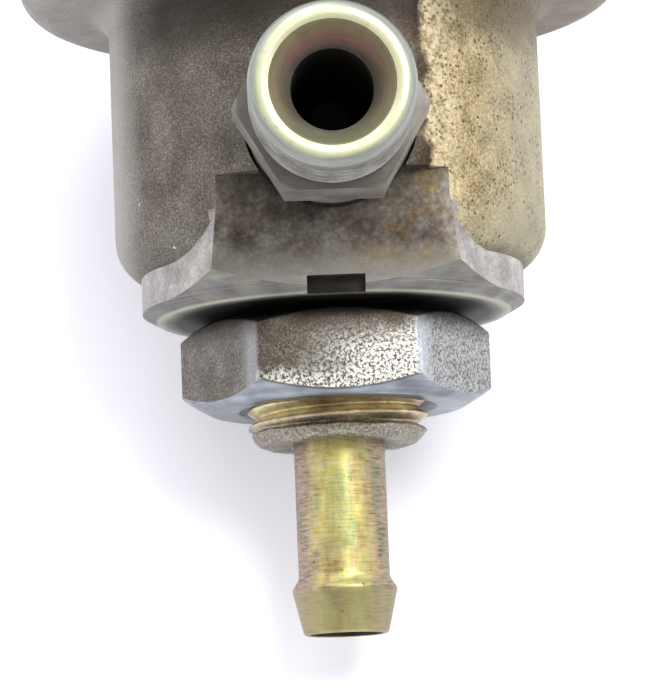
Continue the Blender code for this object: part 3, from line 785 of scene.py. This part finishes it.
def reach(mat, axis, start, end, wave=0.0, grain=3.0):
    """White beyond end and black before start along an axis, in mm, with a wavy border."""
    where = add(mat, "TexCoord")
    split = add(mat, "SeparateXYZ", {}, {0: where.outputs["Object"]})
    noise = add(mat, "TexNoise", {"Scale": 1 / (grain * MM), "Detail": 5.0, "Roughness": 0.6},
                {"Vector": where.outputs["Object"]})
    bent = add(mat, "Math", {"operation": "MULTIPLY_ADD", 1: 2 * wave * MM},
               {0: noise, 2: split.outputs[axis]})
    return add(mat, "MapRange", {"From Min": (start + wave) * MM, "From Max": (end + wave) * MM},
               {"Value": bent})


def distance_out(mat, rings, axis="Y", height=0.0):
    """Rings round the inlet's axis, or round Z: stops are (radius in mm, hex)."""
    where = add(mat, "TexCoord")
    flat = add(mat, "Mapping", {"Location": (0, 0, -height * MM if axis == "Y" else 0),
                                "Scale": (1, 0, 1) if axis == "Y" else (1, 1, 0)},
               {"Vector": where.outputs["Object"]})
    radius = add(mat, "VectorMath", {"operation": "LENGTH"}, {0: flat})
    scaled = add(mat, "Math", {"operation": "DIVIDE", 1: rings[-1][0] * MM},
                 {0: radius.outputs["Value"]})
    return add(mat, "ValToRGB", {"stops": [(r / rings[-1][0], code) for r, code in rings]},
               {"Fac": scaled})


def over(mat, lower, upper, *masks, blend="MIX", amount=1.0):
    """Lay a colour or pattern over another, as far as all the masks are white."""
    settings = {"data_type": "RGBA", "blend_type": blend, 0: amount}
    links = {6: lower}
    if isinstance(upper, str):
        settings[7] = upper
    else:
        links[7] = upper
    for mask in masks:
        links[0] = add(mat, "Math", {"operation": "MULTIPLY", 1: amount},
                       {0: mask, 1: links[0]} if 0 in links else {0: mask})
    return add(mat, "Mix", settings, links)


print("recipes: clouds, spots, reach, distance_out, over")

# %% [markdown]
# ## The blasted can
# The can is forged steel, shot-blasted and thinly zinc plated. Blasting leaves a dull sandy
# skin with grains of about a fifth of a millimetre, so the roughness is high and the
# colour comes from years of dirt in the pits: grey-brown, with a tan run of stain down the
# right side that ends in a rusty edge. The grains are drawn a little coarser than real
# grit so that they show. Some light is painted in too: shade under the flange, a pale
# reflection along the left rim and a cream highlight inside the stain's left border.

# %% Blasted, zinc-plated steel
can_skin = new_finish("blasted_zinc_steel", 0.75, 0.6)
grey = clouds(can_skin, 4.0, tones("706a60", "89837a", "9c9790"), detail=5)
grit = clouds(can_skin, 0.17, [(0.34, "302d28"), (0.5, "7b7872"), (0.68, "d2cfca")], detail=3,
              fine=0.75)
grey = over(can_skin, grey, grit, blend="OVERLAY", amount=0.75)
# painted reflection: the can's far left rim is lightened, as the bright surroundings catch its
# silhouette
left_rim_sheen = reach(can_skin, "X", -16.6, -18.6, wave=0.5, grain=4.0)
grey = over(can_skin, grey, "c4c0bb", left_rim_sheen, amount=0.45)
# painted shade: the grey side darkens just under the flange
under_flange_shade = reach(can_skin, "Z", 20.5, 24.0, wave=1.4)
front_left = reach(can_skin, "X", -18.0, -14.5)
grey = over(can_skin, grey, "3a342e", under_flange_shade, front_left, amount=0.8)

sand = clouds(can_skin, 2.6, tones("a8956b", "c9be9a", "d4ccb2"), shift=7, detail=5)
sand_grain = clouds(can_skin, 0.22, [(0.36, "3c3a33"), (0.48, "84817a"), (0.64, "d8d4ca")],
                    detail=4, shift=3, fine=0.8)
sand = over(can_skin, sand, sand_grain, blend="OVERLAY", amount=0.75)
shaded_right = reach(can_skin, "X", 12.0, 17.0, wave=1.2)
sand = over(can_skin, sand, "9f9d88", shaded_right, amount=0.65)
dull_foot = reach(can_skin, "Z", 9.0, 5.0, wave=1.5)
sand = over(can_skin, sand, "918e7a", dull_foot, amount=0.5)
# painted shade: the tan stain darkens just under the flange
tan_under_flange_shade = reach(can_skin, "Z", 20.8, 24.0, wave=1.8, grain=2.0)
sand = over(can_skin, sand, "5e513e", tan_under_flange_shade, amount=0.65)
# painted highlight: pale cream dots just inside the tan stain's left border
stain_border_highlight = reach(can_skin, "X", 11.8, 8.8, wave=1.2)
cream_dots = clouds(can_skin, 0.5, [(0.4, BLACK), (0.55, WHITE)], shift=15)
sand = over(can_skin, sand, "f6e6c6", stain_border_highlight, cream_dots, amount=0.6)
pits = spots(can_skin, 0.8, 0.2, share=0.4)
sand = over(can_skin, sand, "4a4235", pits, amount=0.85)
small_pits = spots(can_skin, 0.4, 0.17, shift=4, share=0.9)
pit_fields = clouds(can_skin, 3.2, [(0.44, BLACK), (0.56, WHITE)], shift=11)
sand = over(can_skin, sand, "50503c", small_pits, pit_fields, amount=0.8)

above_collar = reach(can_skin, "Z", 3.4, 4.6, wave=0.8)
rust_band = reach(can_skin, "X", 6.0, 8.2, wave=2.4, grain=2.6)
can_colour = over(can_skin, grey, "c09c80", rust_band, above_collar, blend="MULTIPLY", amount=0.8)
run = reach(can_skin, "X", 8.0, 8.7, wave=1.6, grain=2.0)
can_colour = over(can_skin, can_colour, sand, run, above_collar)
dust = spots(can_skin, 1.6, 0.2, shift=9, share=0.12)
can_colour = over(can_skin, can_colour, "d8d6d0", dust, amount=0.8)
rim_grey = reach(can_skin, "Z", 27.2, 28.6, wave=0.5)
rim_cloud = clouds(can_skin, 3.0, tones("8b857c", "9c988e", "aca89c"), shift=5)
rim_cloud = over(can_skin, rim_cloud, grit, blend="OVERLAY", amount=0.4)
can_colour = over(can_skin, can_colour, rim_cloud, rim_grey, amount=0.8)
blasting = clouds(can_skin, 0.24, [(0.3, BLACK), (0.7, WHITE)], detail=2)
wire_up(can_skin, can_colour, (blasting, 0.04, 0.6), (pits, 0.05, 0.35))

# %% [markdown]
# ## The milled flat, the flanks and the turned collar
# Tools leave their own marks. The mill leaves a smooth face that has since taken oily,
# olive stains; the flanks are bare forged skin rubbed pale; the collar and the seat carry
# the lathe's rings, which lie at one height all the way round. So the rings are a noise
# squeezed along Z, and what was cut by which tool is chosen by face.

# %% Milled, oil-stained steel
milled = new_finish("milled_stained_steel", 0.8, 0.5)
colour = clouds(milled, 2.6, tones("554c42", "837a71", "a39d95"), detail=6, fine=0.65)
olive = clouds(milled, 2.2, [(0.5, BLACK), (0.64, WHITE)], shift=6, detail=5)
right_half = reach(milled, "X", -1.5, 3.5, wave=2.0)
colour = over(milled, colour, "8f7a48", olive, right_half, amount=0.8)
# painted shade: the flat darkens towards its top, under the inlet fitting's hexagon
flat_shade_under_fitting = reach(milled, "Z", 7.0, 10.0, wave=1.6)
colour = over(milled, colour, "4f473e", flat_shade_under_fitting, amount=0.45)
mottle = clouds(milled, 0.45, tones("4c4c4c", "808080", "b8b8b8", 0.16), detail=4,
                shift=2, fine=0.7)
colour = over(milled, colour, mottle, blend="OVERLAY", amount=0.6)
rust_dots = spots(milled, 1.1, 0.35, shift=2, share=0.22)
colour = over(milled, colour, "6a4526", rust_dots, amount=0.55)
pale_foot = reach(milled, "Z", 4.4, 0.9, wave=0.9)
colour = over(milled, colour, "9c9992", pale_foot, amount=0.85)
wire_up(milled, colour, (mottle, 0.02, 0.35))

# %% Rubbed forged flank
flank = new_finish("rubbed_forged_steel", 0.8, 0.5)
colour = clouds(flank, 2.4, tones("a09b96", "b8b4af", "cecbc6"), detail=5)
fleck = clouds(flank, 0.3, tones("5a5a5a", "808080", "a4a4a4", 0.16), detail=4, fine=0.7)
colour = over(flank, colour, fleck, blend="OVERLAY", amount=0.5)
# the flank darkens towards its top
flank_darker_top = reach(flank, "Z", 6.5, 9.5, wave=0.8)
colour = over(flank, colour, "6c665e", flank_darker_top, amount=0.5)
wire_up(flank, colour, (fleck, 0.03, 0.3))

# %% Turned collar and seat
RINGS_ACROSS = (0.02, 0.02, 1.0)
turned_steel = new_finish("turned_zinc_steel", 0.85, 0.5)
colour = clouds(turned_steel, 3.0, tones("75726d", "8c8a84", "a19f98"), detail=5)
rings = clouds(turned_steel, 0.16, tones("5c5c5c", "808080", "a4a4a4"),
               stretch=RINGS_ACROSS, detail=3)
colour = over(turned_steel, colour, rings, blend="OVERLAY", amount=0.5)
# painted highlight: a pale ring along the seat's outer edge
edge = distance_out(turned_steel, [(0, BLACK), (14.9, BLACK), (15.4, WHITE), (15.75, WHITE),
                                   (16.0, BLACK)], "Z")
colour = over(turned_steel, colour, "d6d5bd", edge, amount=0.45)
green_patch = clouds(turned_steel, 6.0, [(0.5, BLACK), (0.62, WHITE)], shift=3)
colour = over(turned_steel, colour, "9aa56c", green_patch, amount=0.2)
# painted shade: the seat turns nearly black near the axis, in the gap between the seat and the nut
seat_gap_shade = distance_out(turned_steel, [(0, WHITE), (13.9, WHITE), (14.9, BLACK)], "Z")
colour = over(turned_steel, colour, "12100c", seat_gap_shade, amount=0.92)
wire_up(turned_steel, colour, (rings, 0.02, 0.35))

# %% Dark painted shade for the hidden inside, the notch and the bores
shade = new_finish("dark_painted_shade", 0.6, 0.7)
colour = clouds(shade, 2.0, tones("1d1a17", "2b2723", "3a352f"), detail=4)
wire_up(shade, colour, (colour, 0.03, 0.3))


# %% Give each face of the housing the finish its tool left
def face_finish(obj, chooser, *materials):
    """Each face takes the material whose number the chooser gives for its place and normal."""
    obj.data.materials.clear()
    for finish in materials:
        obj.data.materials.append(finish)
    count = [0] * len(materials)
    for face in obj.data.polygons:
        face.material_index = chooser(face.center / MM, face.normal)
        count[face.material_index] += 1
    print(obj.name, dict(zip([m.name for m in materials], count)))


def housing_finish(spot, normal):
    """0 blasted can, 1 milled flat, 2 flank, 3 turned collar and seat, 4 dark painted shade inside
    and in the notch.
    """
    radius = math.hypot(spot.x, spot.y)
    wall = spot.xy.dot(normal.xy.normalized()) if abs(normal.z) < 0.5 else 0.0
    in_notch = (abs(spot.x) < NOTCH_HALF + 0.15 and spot.z < NOTCH_TOP + 0.1
                and -FLAT_Y + 0.05 < spot.y < -FLAT_Y + NOTCH_DEPTH + 0.1)
    # painted shade: the notch's walls and roof take the dark finish
    if in_notch and (abs(normal.x) > 0.9 or normal.y < -0.9 or spot.z > NOTCH_TOP - 0.1):
        return 4
    if radius < 14.3 and 0.2 < spot.z < FLANGE_Z + 3:
        return 4
    if abs(spot.y + FLAT_Y) < 0.12 and normal.y < (-0.6 if spot.z < BLOCK_TOP else -0.97):
        return 1
    if normal.z < -0.35 and spot.z < max(radius - SEAT_R, 0) * slope + 0.25:
        return 3
    if spot.z < 3.9 and abs(radius - COLLAR_R) < 0.12:
        return 2
    if -3 > spot.y and spot.z < BLOCK_TOP and abs(normal.x) > 0.5 and 16.6 < wall < 17.35:
        return 2
    if spot.y < -16 and abs(spot.x) > 9 and spot.z < BLOCK_TOP:
        return 2
    if spot.y < -8 and spot.z < 3.9 and 9 < abs(spot.x) < COLLAR_R:
        return 2
    return 0


face_finish(housing, housing_finish, can_skin, milled, flank, turned_steel, shade)

# %% [markdown]
# ## The bright inlet fitting
# The fitting is turned from bar and zinc plated with a pale, slightly green passivation.
# Its lathe rings run round the inlet's own axis, so the pattern is squeezed along Y. The
# cone inside is darker and has a pink bloom at the top and a green one below, where the
# thin passivation film changes its thickness. The bore takes the dark painted shade, and a
# band of painted shade lies where the nose meets the hexagon's front face.

# %% Pale passivated zinc
bright = new_finish("pale_passivated_zinc", 0.55, 0.42)
colour = distance_out(bright, [
    (0.0, "b5a978"), (3.6, "d8c994"), (4.3, "d8ccaa"), (5.0, "d2ccb6"), (5.3, "d8d4bc"),
    (5.55, "e0e1c8"), (6.1, "dcdec8"), (6.5, "b4b7ae"), (7.1, "a4a79f"), (8.6, "8c8a84")],
    "Y", PORT_Z)
front = reach(bright, "Y", -LIP_Y + 3.5, -LIP_Y + 1.2)
back_colour = clouds(bright, 2.5, tones("89857e", "a5a29b", "bbb9b2"), detail=4)
colour = over(bright, back_colour, colour, front)
pink_height = reach(bright, "Z", PORT_Z + 1.2, PORT_Z + 3.2, wave=0.2)
bore_edge = distance_out(bright, [(0, WHITE), (4.0, WHITE), (4.8, BLACK)], "Y", PORT_Z)
colour = over(bright, colour, "ffc6dc", pink_height, bore_edge, front, amount=0.85)
green_height = reach(bright, "Z", PORT_Z - 1.6, PORT_Z - 4.2, wave=0.3)
in_cone = distance_out(bright, [(0, WHITE), (4.9, WHITE), (5.3, BLACK)], "Y", PORT_Z)
colour = over(bright, colour, "a2b07c", green_height, in_cone, front, amount=0.65)
rings = clouds(bright, 0.16, tones("606060", "808080", "a2a2a2"),
               stretch=(0.05, 1.0, 0.05), detail=4)
colour = over(bright, colour, rings, blend="OVERLAY", amount=0.6)
scuffs = clouds(bright, 0.6, [(0.56, BLACK), (0.7, WHITE)], shift=8, detail=5)
colour = over(bright, colour, "9b998c", scuffs, amount=0.4)
# painted shade: a dark band on the hexagon's front face and the nose's root, in the corner between
# them
corner_shade_front = reach(bright, "Y", -HEX_FRONT + 0.2, -HEX_FRONT + 0.05)
corner_shade_back = reach(bright, "Y", -HEX_FRONT - 0.6, -HEX_FRONT - 0.3)
colour = over(bright, colour, "5f5b54", corner_shade_front, corner_shade_back, amount=0.75)
wire_up(bright, colour, (rings, 0.015, 0.35))


# %% The fitting's bore takes the dark painted shade
def fitting_finish(spot, normal):
    radius = math.hypot(spot.x, spot.z - PORT_Z)
    return 1 if (radius < BORE_R + 0.02 and abs(normal.y) < 0.5) or spot.y > -12 else 0


face_finish(fitting, fitting_finish, bright, shade)

# %% [markdown]
# ## The nut
# The nut is hot-rolled hexagon bar with a thin zinc plating that has gone patchy. Coarse
# crystals, a few tenths of a millimetre across, catch the light one by one: that is drawn
# as a noise with hard steps between dirty grey-brown and nearly white zinc. The white is
# gathered towards the lower right of the face over the inlet, on the right-hand flat and
# along the front corners as painted glints and highlights, and the nut's top is darkened
# by grime and painted shade under the collar. The turned chamfers are smoother and bluish.

# %% Spangled zinc on the nut's flats
spangle = new_finish("patchy_spangled_zinc", 0.8, 0.42)
colour = clouds(spangle, 2.4, tones("6a6154", "807a70", "96928b"), detail=5)
speckle = clouds(spangle, 0.2, tones("322f2b", "7a7774", "d2d1ce", 0.16), detail=4,
                 fine=0.75)
colour = over(spangle, colour, speckle, blend="OVERLAY", amount=0.8)
front_face = reach(spangle, "Y", -11.2, -11.7)
flakes = clouds(spangle, 0.28, [(0.45, BLACK), (0.54, WHITE)], shift=5, detail=4, fine=0.75)
# painted highlight: the white crystals gather towards the lower right of the front face, where the
# glints fall
glint_right_part = reach(spangle, "X", -3.6, 3.4, wave=2.4, grain=2.4)
glint_low_part = reach(spangle, "Z", -1.6, -4.9, wave=1.8, grain=2.0)
colour = over(spangle, colour, "fbfaf5", glint_right_part, glint_low_part, flakes, front_face)
# painted highlight: a band of white crystals along the front face's lower edge
glint_low_band = reach(spangle, "Z", -5.6, -6.9, wave=0.9, grain=1.6)
colour = over(spangle, colour, "f6f4ec", glint_low_band, flakes, front_face, amount=0.95)
# painted light: the right-hand flat is paler and bluer, as lit from the right
lit_right_flat = reach(spangle, "X", 6.9, 7.6)
colour = over(spangle, colour, "ccd2d4", lit_right_flat, flakes, amount=0.6)
# painted highlight: pale bands along both front corner edges, lighter and bluer on the right
for inner, outer, corner_highlight, amount in (((6.5, 7.0), (8.4, 7.4), "c4ccd4", 0.6),
                                   ((-6.9, -7.1), (-8.5, -7.7), "a5a7a8", 0.5)):
    corner = reach(spangle, "X", *inner), reach(spangle, "X", *outer)
    colour = over(spangle, colour, corner_highlight, *corner, amount=amount)
# grime and painted shade: the nut's top darkens under the collar
grime_and_collar_shade = reach(spangle, "Z", -3.0, -1.4, wave=0.9, grain=2.0)
colour = over(spangle, colour, "3a3229", grime_and_collar_shade, amount=0.7)
# painted shade: the nut's top edge turns nearly black in the gap under the seat
nut_top_shade = reach(spangle, "Z", -1.7, -1.0, wave=0.4, grain=1.5)
colour = over(spangle, colour, "14110d", nut_top_shade, amount=0.85)
wire_up(spangle, colour, (speckle, 0.04, 0.5))

# %% Turned chamfers of the nut
nut_turned = new_finish("turned_blue_zinc", 0.95, 0.3)
colour = clouds(nut_turned, 2.5, tones("8a9096", "a3aab0", "bcc2c6"), detail=4)
rings = clouds(nut_turned, 0.25, tones("666666", "808080", "a0a0a0"),
               stretch=RINGS_ACROSS, detail=2)
colour = over(nut_turned, colour, rings, blend="OVERLAY", amount=0.7)
wire_up(nut_turned, colour, (rings, 0.02, 0.3))


def nut_finish(spot, normal):
    """The flats keep their spangle, and so does the upper side, darkened by grime and painted
    shade under the collar.
    """
    radius = math.hypot(spot.x, spot.y)
    return 0 if radius > 9 and (abs(normal.z) < 0.2 or spot.z > -2.5) else 1


face_finish(nut, nut_finish, spangle, nut_turned)

# %% [markdown]
# ## Yellow chromate
# Chromating turns zinc gold, with streaks of green and pink where the film is thinner or
# thicker. On the hose tail the streaks run along the tube, crossed by fine turning lines
# and a few dark specks where the film has broken. Towards both sides the tube takes a
# pinkish film tint and is darkened by painted shade, where it turns away from the light.

# %% Yellow chromate on the hose tail
gold = new_finish("yellow_chromated_zinc", 0.8, 0.42)
colour = clouds(gold, 1.8, [(0.3, "c8bd94"), (0.45, "dad1a6"), (0.58, "e8e2b8"), (0.72, "dadac0")],
                stretch=(1, 1, 0.45), detail=5)
greenish = clouds(gold, 1.5, [(0.5, BLACK), (0.66, WHITE)], stretch=(1, 1, 0.35), shift=4,
                  detail=4)
colour = over(gold, colour, "b2c4a0", greenish, amount=0.5)
# film tint and painted shade: the tube darkens and turns pinkish towards both sides
left_tint_and_shade = reach(gold, "X", -1.6, -3.4, wave=0.4, grain=2.0)
colour = over(gold, colour, "b8aa9e", left_tint_and_shade, amount=0.7)
right_tint_and_shade = reach(gold, "X", 1.4, 3.3, wave=0.4, grain=2.0)
colour = over(gold, colour, "b0a08a", right_tint_and_shade, amount=0.7)
turning = clouds(gold, 0.17, [(0.34, "383838"), (0.46, "7c7c7c"), (0.7, "a4a4a4")],
                 stretch=(0.12, 0.12, 1.0), detail=4, fine=0.65)
colour = over(gold, colour, turning, blend="OVERLAY", amount=0.9)
nose = reach(gold, "Z", BARB_Z + 0.3, BARB_Z - 0.3)
colour = over(gold, colour, "958d66", nose, amount=0.65)
specks = spots(gold, 0.6, 0.17, shift=1, share=0.25)
speck_fields = clouds(gold, 2.2, [(0.52, BLACK), (0.6, WHITE)], shift=13)
colour = over(gold, colour, "4a3424", specks, speck_fields, amount=0.8)
wire_up(gold, colour, (turning, 0.02, 0.4))

# %% Worn chromate on the stud's thread
thread_gold = new_finish("worn_chromated_thread", 0.9, 0.38)
colour = clouds(thread_gold, 1.6, [(0.3, "b0a078"), (0.45, "d2c298"), (0.58, "e6dcb8"),
                                   (0.75, "c2c6a4")], stretch=(0.5, 0.5, 1.2), detail=4)
blush = clouds(thread_gold, 1.2, [(0.52, BLACK), (0.64, WHITE)], shift=9)
colour = over(thread_gold, colour, "c09a94", blush, amount=0.5)
pitted = clouds(thread_gold, 0.26, tones("2a2824", "6e6b65", "b8b5ae", 0.18), detail=4,
                fine=0.75)
colour = over(thread_gold, colour, pitted, blend="OVERLAY", amount=0.3)
end_grey = reach(thread_gold, "Z", STUD_END + 2.3, STUD_END + 1.3, wave=0.5, grain=1.5)
colour = over(thread_gold, colour, pitted, end_grey, amount=0.85)
wire_up(thread_gold, colour, (pitted, 0.04, 0.35))
stud.data.materials.append(thread_gold)


# %% The hose tail's end and bore
def tail_finish(spot, normal):
    radius = math.hypot(spot.x, spot.y)
    # the bore takes the dark painted shade
    return 1 if radius < TAIL_BORE_R + 0.15 else 0


face_finish(tail, tail_finish, gold, shade)

# %% [markdown]
# ## The cover, the nipple and the washer
# The cover is drawn sheet with the same dull zinc as the can but without the blasting, so
# it has no grit, and faint drawing lines run up its wall. The washer is soft copper,
# painted nearly black as painted shade, since it sits in the shaded gap behind the fitting's
# hexagon.

# %% Drawn, dull zinc
sheet_zinc = new_finish("drawn_dull_zinc", 0.85, 0.48)
colour = clouds(sheet_zinc, 6.0, tones("857f70", "9a9586", "aca898"), detail=4)
draw_lines = clouds(sheet_zinc, 0.7, tones("6c6c6c", "808080", "969696"),
                    stretch=(1, 1, 0.06), detail=3)
colour = over(sheet_zinc, colour, draw_lines, blend="OVERLAY", amount=0.6)
freckles = spots(sheet_zinc, 1.8, 0.4, share=0.25)
colour = over(sheet_zinc, colour, "6a5f4c", freckles, amount=0.6)
wire_up(sheet_zinc, colour, (draw_lines, 0.02, 0.35))
cover.data.materials.append(sheet_zinc)
nipple.data.materials.append(gold)

# %% Copper painted nearly black, as painted shade behind the fitting
copper = new_finish("shade_darkened_copper", 0.9, 0.55)
colour = clouds(copper, 1.2, tones("1e1b19", "302a27", "433a34"), detail=4)
wire_up(copper, colour, (colour, 0.02, 0.3))
washer.data.materials.append(copper)
print("cover, nipple and washer coated:", sheet_zinc.name, gold.name, copper.name)

# %% [markdown]
# ## The pieces inside
# Most working pieces inside keep the frame's own shapes. They take finishes that suit them:
# lapped and ground steel for the valve, oil-tempered wire for the springs, pressed sheet
# for the plates, rubbered fabric for the diaphragm and wire gauze for the strainer.

# %% Ground, pressed and tempered steels
def plain_steel(name, roughness, dark, light, grain, stretch=(1, 1, 1)):
    """A working steel: two tones at one grain, with the marks of its tool."""
    mat = new_finish(name, 1.0, roughness)
    tone = clouds(mat, grain * 6, [(0.3, dark), (0.7, light)], detail=4)
    marks = clouds(mat, grain, tones("6a6a6a", "808080", "999999"),
                   stretch=stretch, detail=3)
    tone = over(mat, tone, marks, blend="OVERLAY", amount=0.7)
    return wire_up(mat, tone, (marks, 0.01, 0.3))


ground = plain_steel("ground_valve_steel", 0.22, "9a9a9c", "b4b4b7", 0.3, RINGS_ACROSS)
lapped = plain_steel("lapped_valve_steel", 0.14, "b0b0b3", "c4c4c7", 0.2)
pressed = plain_steel("pressed_oiled_steel", 0.38, "82807a", "a09e97", 0.6)
spring_wire = plain_steel("oil_tempered_wire", 0.34, "3c3c3e", "5c5c60", 0.5)

rubber = new_finish("rubbered_fabric", 0.0, 0.72)
colour = clouds(rubber, 0.9, tones("1a1a1b", "242425", "303031"), detail=3)
weave = clouds(rubber, 0.5, [(0.4, BLACK), (0.6, WHITE)], stretch=(1, 0.3, 1))
wire_up(rubber, colour, (weave, 0.05, 0.5))

gauze = new_finish("dark_wire_gauze", 0.7, 0.6)
gauze_space = add(gauze, "TexCoord")
wires = add(gauze, "TexChecker", {"Scale": 1 / (0.25 * MM), "Color1": "16140f",
                                  "Color2": "060505"}, {"Vector": gauze_space.outputs["Object"]})
wire_up(gauze, wires)

inside_finishes = {
    "valve_seat": ground, "valve_carrier": ground, "valve_plate": lapped, "valve_ball": lapped,
    "valve_retainer": spring_wire,
    "support_washer": pressed, "spring_plate": pressed, "spring_seat": pressed,
    "inlet_strainer": gauze, "stud_seal_ring": copper}
main_coil.data.materials.append(spring_wire)
ball_coil.data.materials.append(spring_wire)
membrane.data.materials.append(rubber)
for node_name, finish in inside_finishes.items():
    node_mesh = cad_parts[node_name].data
    node_mesh.materials.clear()
    node_mesh.materials.append(finish)
print("finishes inside:", len(inside_finishes))

# %% [markdown]
# ## The stage
# The part lies on its back on a white table: the flange's rim and the can's foot touch it. A
# table wide enough for every view would hide the part from behind, so its material lets
# light and sight through on its back face. The paper is lit from behind as well, like the
# floor of a light tent, so it glows a little and its shadows stay pale.

# %% Lay a white table
def stage_plane(name, centre, normal, size):
    select_none()
    bpy.ops.mesh.primitive_plane_add(size=size * MM, location=(0, 0, 0))
    obj = bpy.context.object
    obj.name = name
    turn = Vector((0, 0, 1)).rotation_difference(Vector(normal))
    bake_place(obj, Matrix.Translation(Vector(centre) * MM) @ turn.to_matrix().to_4x4())
    return obj


lean = math.radians(18.6)      # tangent to the flange's and the can's lower rounds
table_normal = Vector((0, -math.cos(lean), math.sin(lean)))
can_round = Vector((0, foot, FOOT_Z + FOOT_RADIUS))
table = stage_plane("table", can_round - table_normal * (FOOT_RADIUS + 0.05), table_normal, 900)

paper = new_finish("white_paper", 0.0, 0.8, {"Specular IOR Level": 0.0})
tree = paper.node_tree
side = add(paper, "NewGeometry")
clear = add(paper, "BsdfTransparent")
switch = add(paper, "MixShader", {}, {0: side.outputs["Backfacing"],
                                      1: tree.nodes["Principled BSDF"], 2: clear})
paper_shader = tree.nodes["Principled BSDF"]
paper_shader.inputs["Base Color"].default_value = srgb("eeeef6")
paper_shader.inputs["Emission Color"].default_value = srgb("f6f6ff")
paper_shader.inputs["Emission Strength"].default_value = 0.3
tree.links.new(switch.outputs[0], tree.nodes["Material Output"].inputs["Surface"])
table.data.materials.append(paper)
print("table faces along", [round(v, 2) for v in table_normal])

# %% [markdown]
# ## Light
# A light tent gives soft light from all sides, and the camera looks in through a dark gap.
# Plated metal shows that: it is dull where it faces the camera and pale at its sides. The
# world is therefore darker towards the camera's side, in front, and bright elsewhere, and
# a large lamp at the upper right lights the tan side, with a weaker and wider one above.
# What the camera sees directly behind the part is pure white.

# %% A light tent and two lamps
def lamp(name, spot, aim, size, power, colour):
    data = bpy.data.lights.new(name, "AREA")
    data.shape = "DISK"
    data.size = size * MM
    data.energy = power
    data.color = colour
    obj = bpy.data.objects.new(name, data)
    obj.location = Vector(spot) * MM
    obj.rotation_mode = "QUATERNION"
    obj.rotation_quaternion = (Vector(aim) - Vector(spot)).to_track_quat("-Z", "Y")
    bpy.context.scene.collection.objects.link(obj)
    return obj


lamp("key", (115, -285, 125), (0, 0, 5), 150, 0.6, (1.0, 0.99, 0.97))
lamp("top", (-60, -160, 260), (0, 0, 0), 220, 0.45, (0.98, 0.98, 1.0))
bpy.context.scene.view_settings.view_transform = "Standard"
world = bpy.data.worlds.new("light_tent")
bpy.context.scene.world = world
world.use_nodes = True
sky = world.node_tree
background = sky.nodes["Background"]
background.inputs["Strength"].default_value = 1.0
direction = add(world, "TexCoord")
toward = add(world, "SeparateXYZ", {}, {0: direction.outputs["Generated"]})
tent = add(world, "MapRange", {"From Min": -1.0, "From Max": 0.1, "To Min": 0.6, "To Max": 1.5},
           {"Value": toward.outputs["Y"]})
low = add(world, "MapRange", {"From Min": -0.9, "From Max": 0.3, "To Min": 0.85, "To Max": 1.0},
          {"Value": toward.outputs["Z"]})
tent = add(world, "Math", {"operation": "MULTIPLY"}, {0: tent, 1: low})
path = add(world, "LightPath")
seen = add(world, "Mix", {"data_type": "FLOAT", 3: 1.15},
           {0: path.outputs["Is Camera Ray"], 2: tent})
sky.links.new(next(o for o in seen.outputs if o.enabled), background.inputs["Color"])
print("tent nodes:", len(sky.nodes))
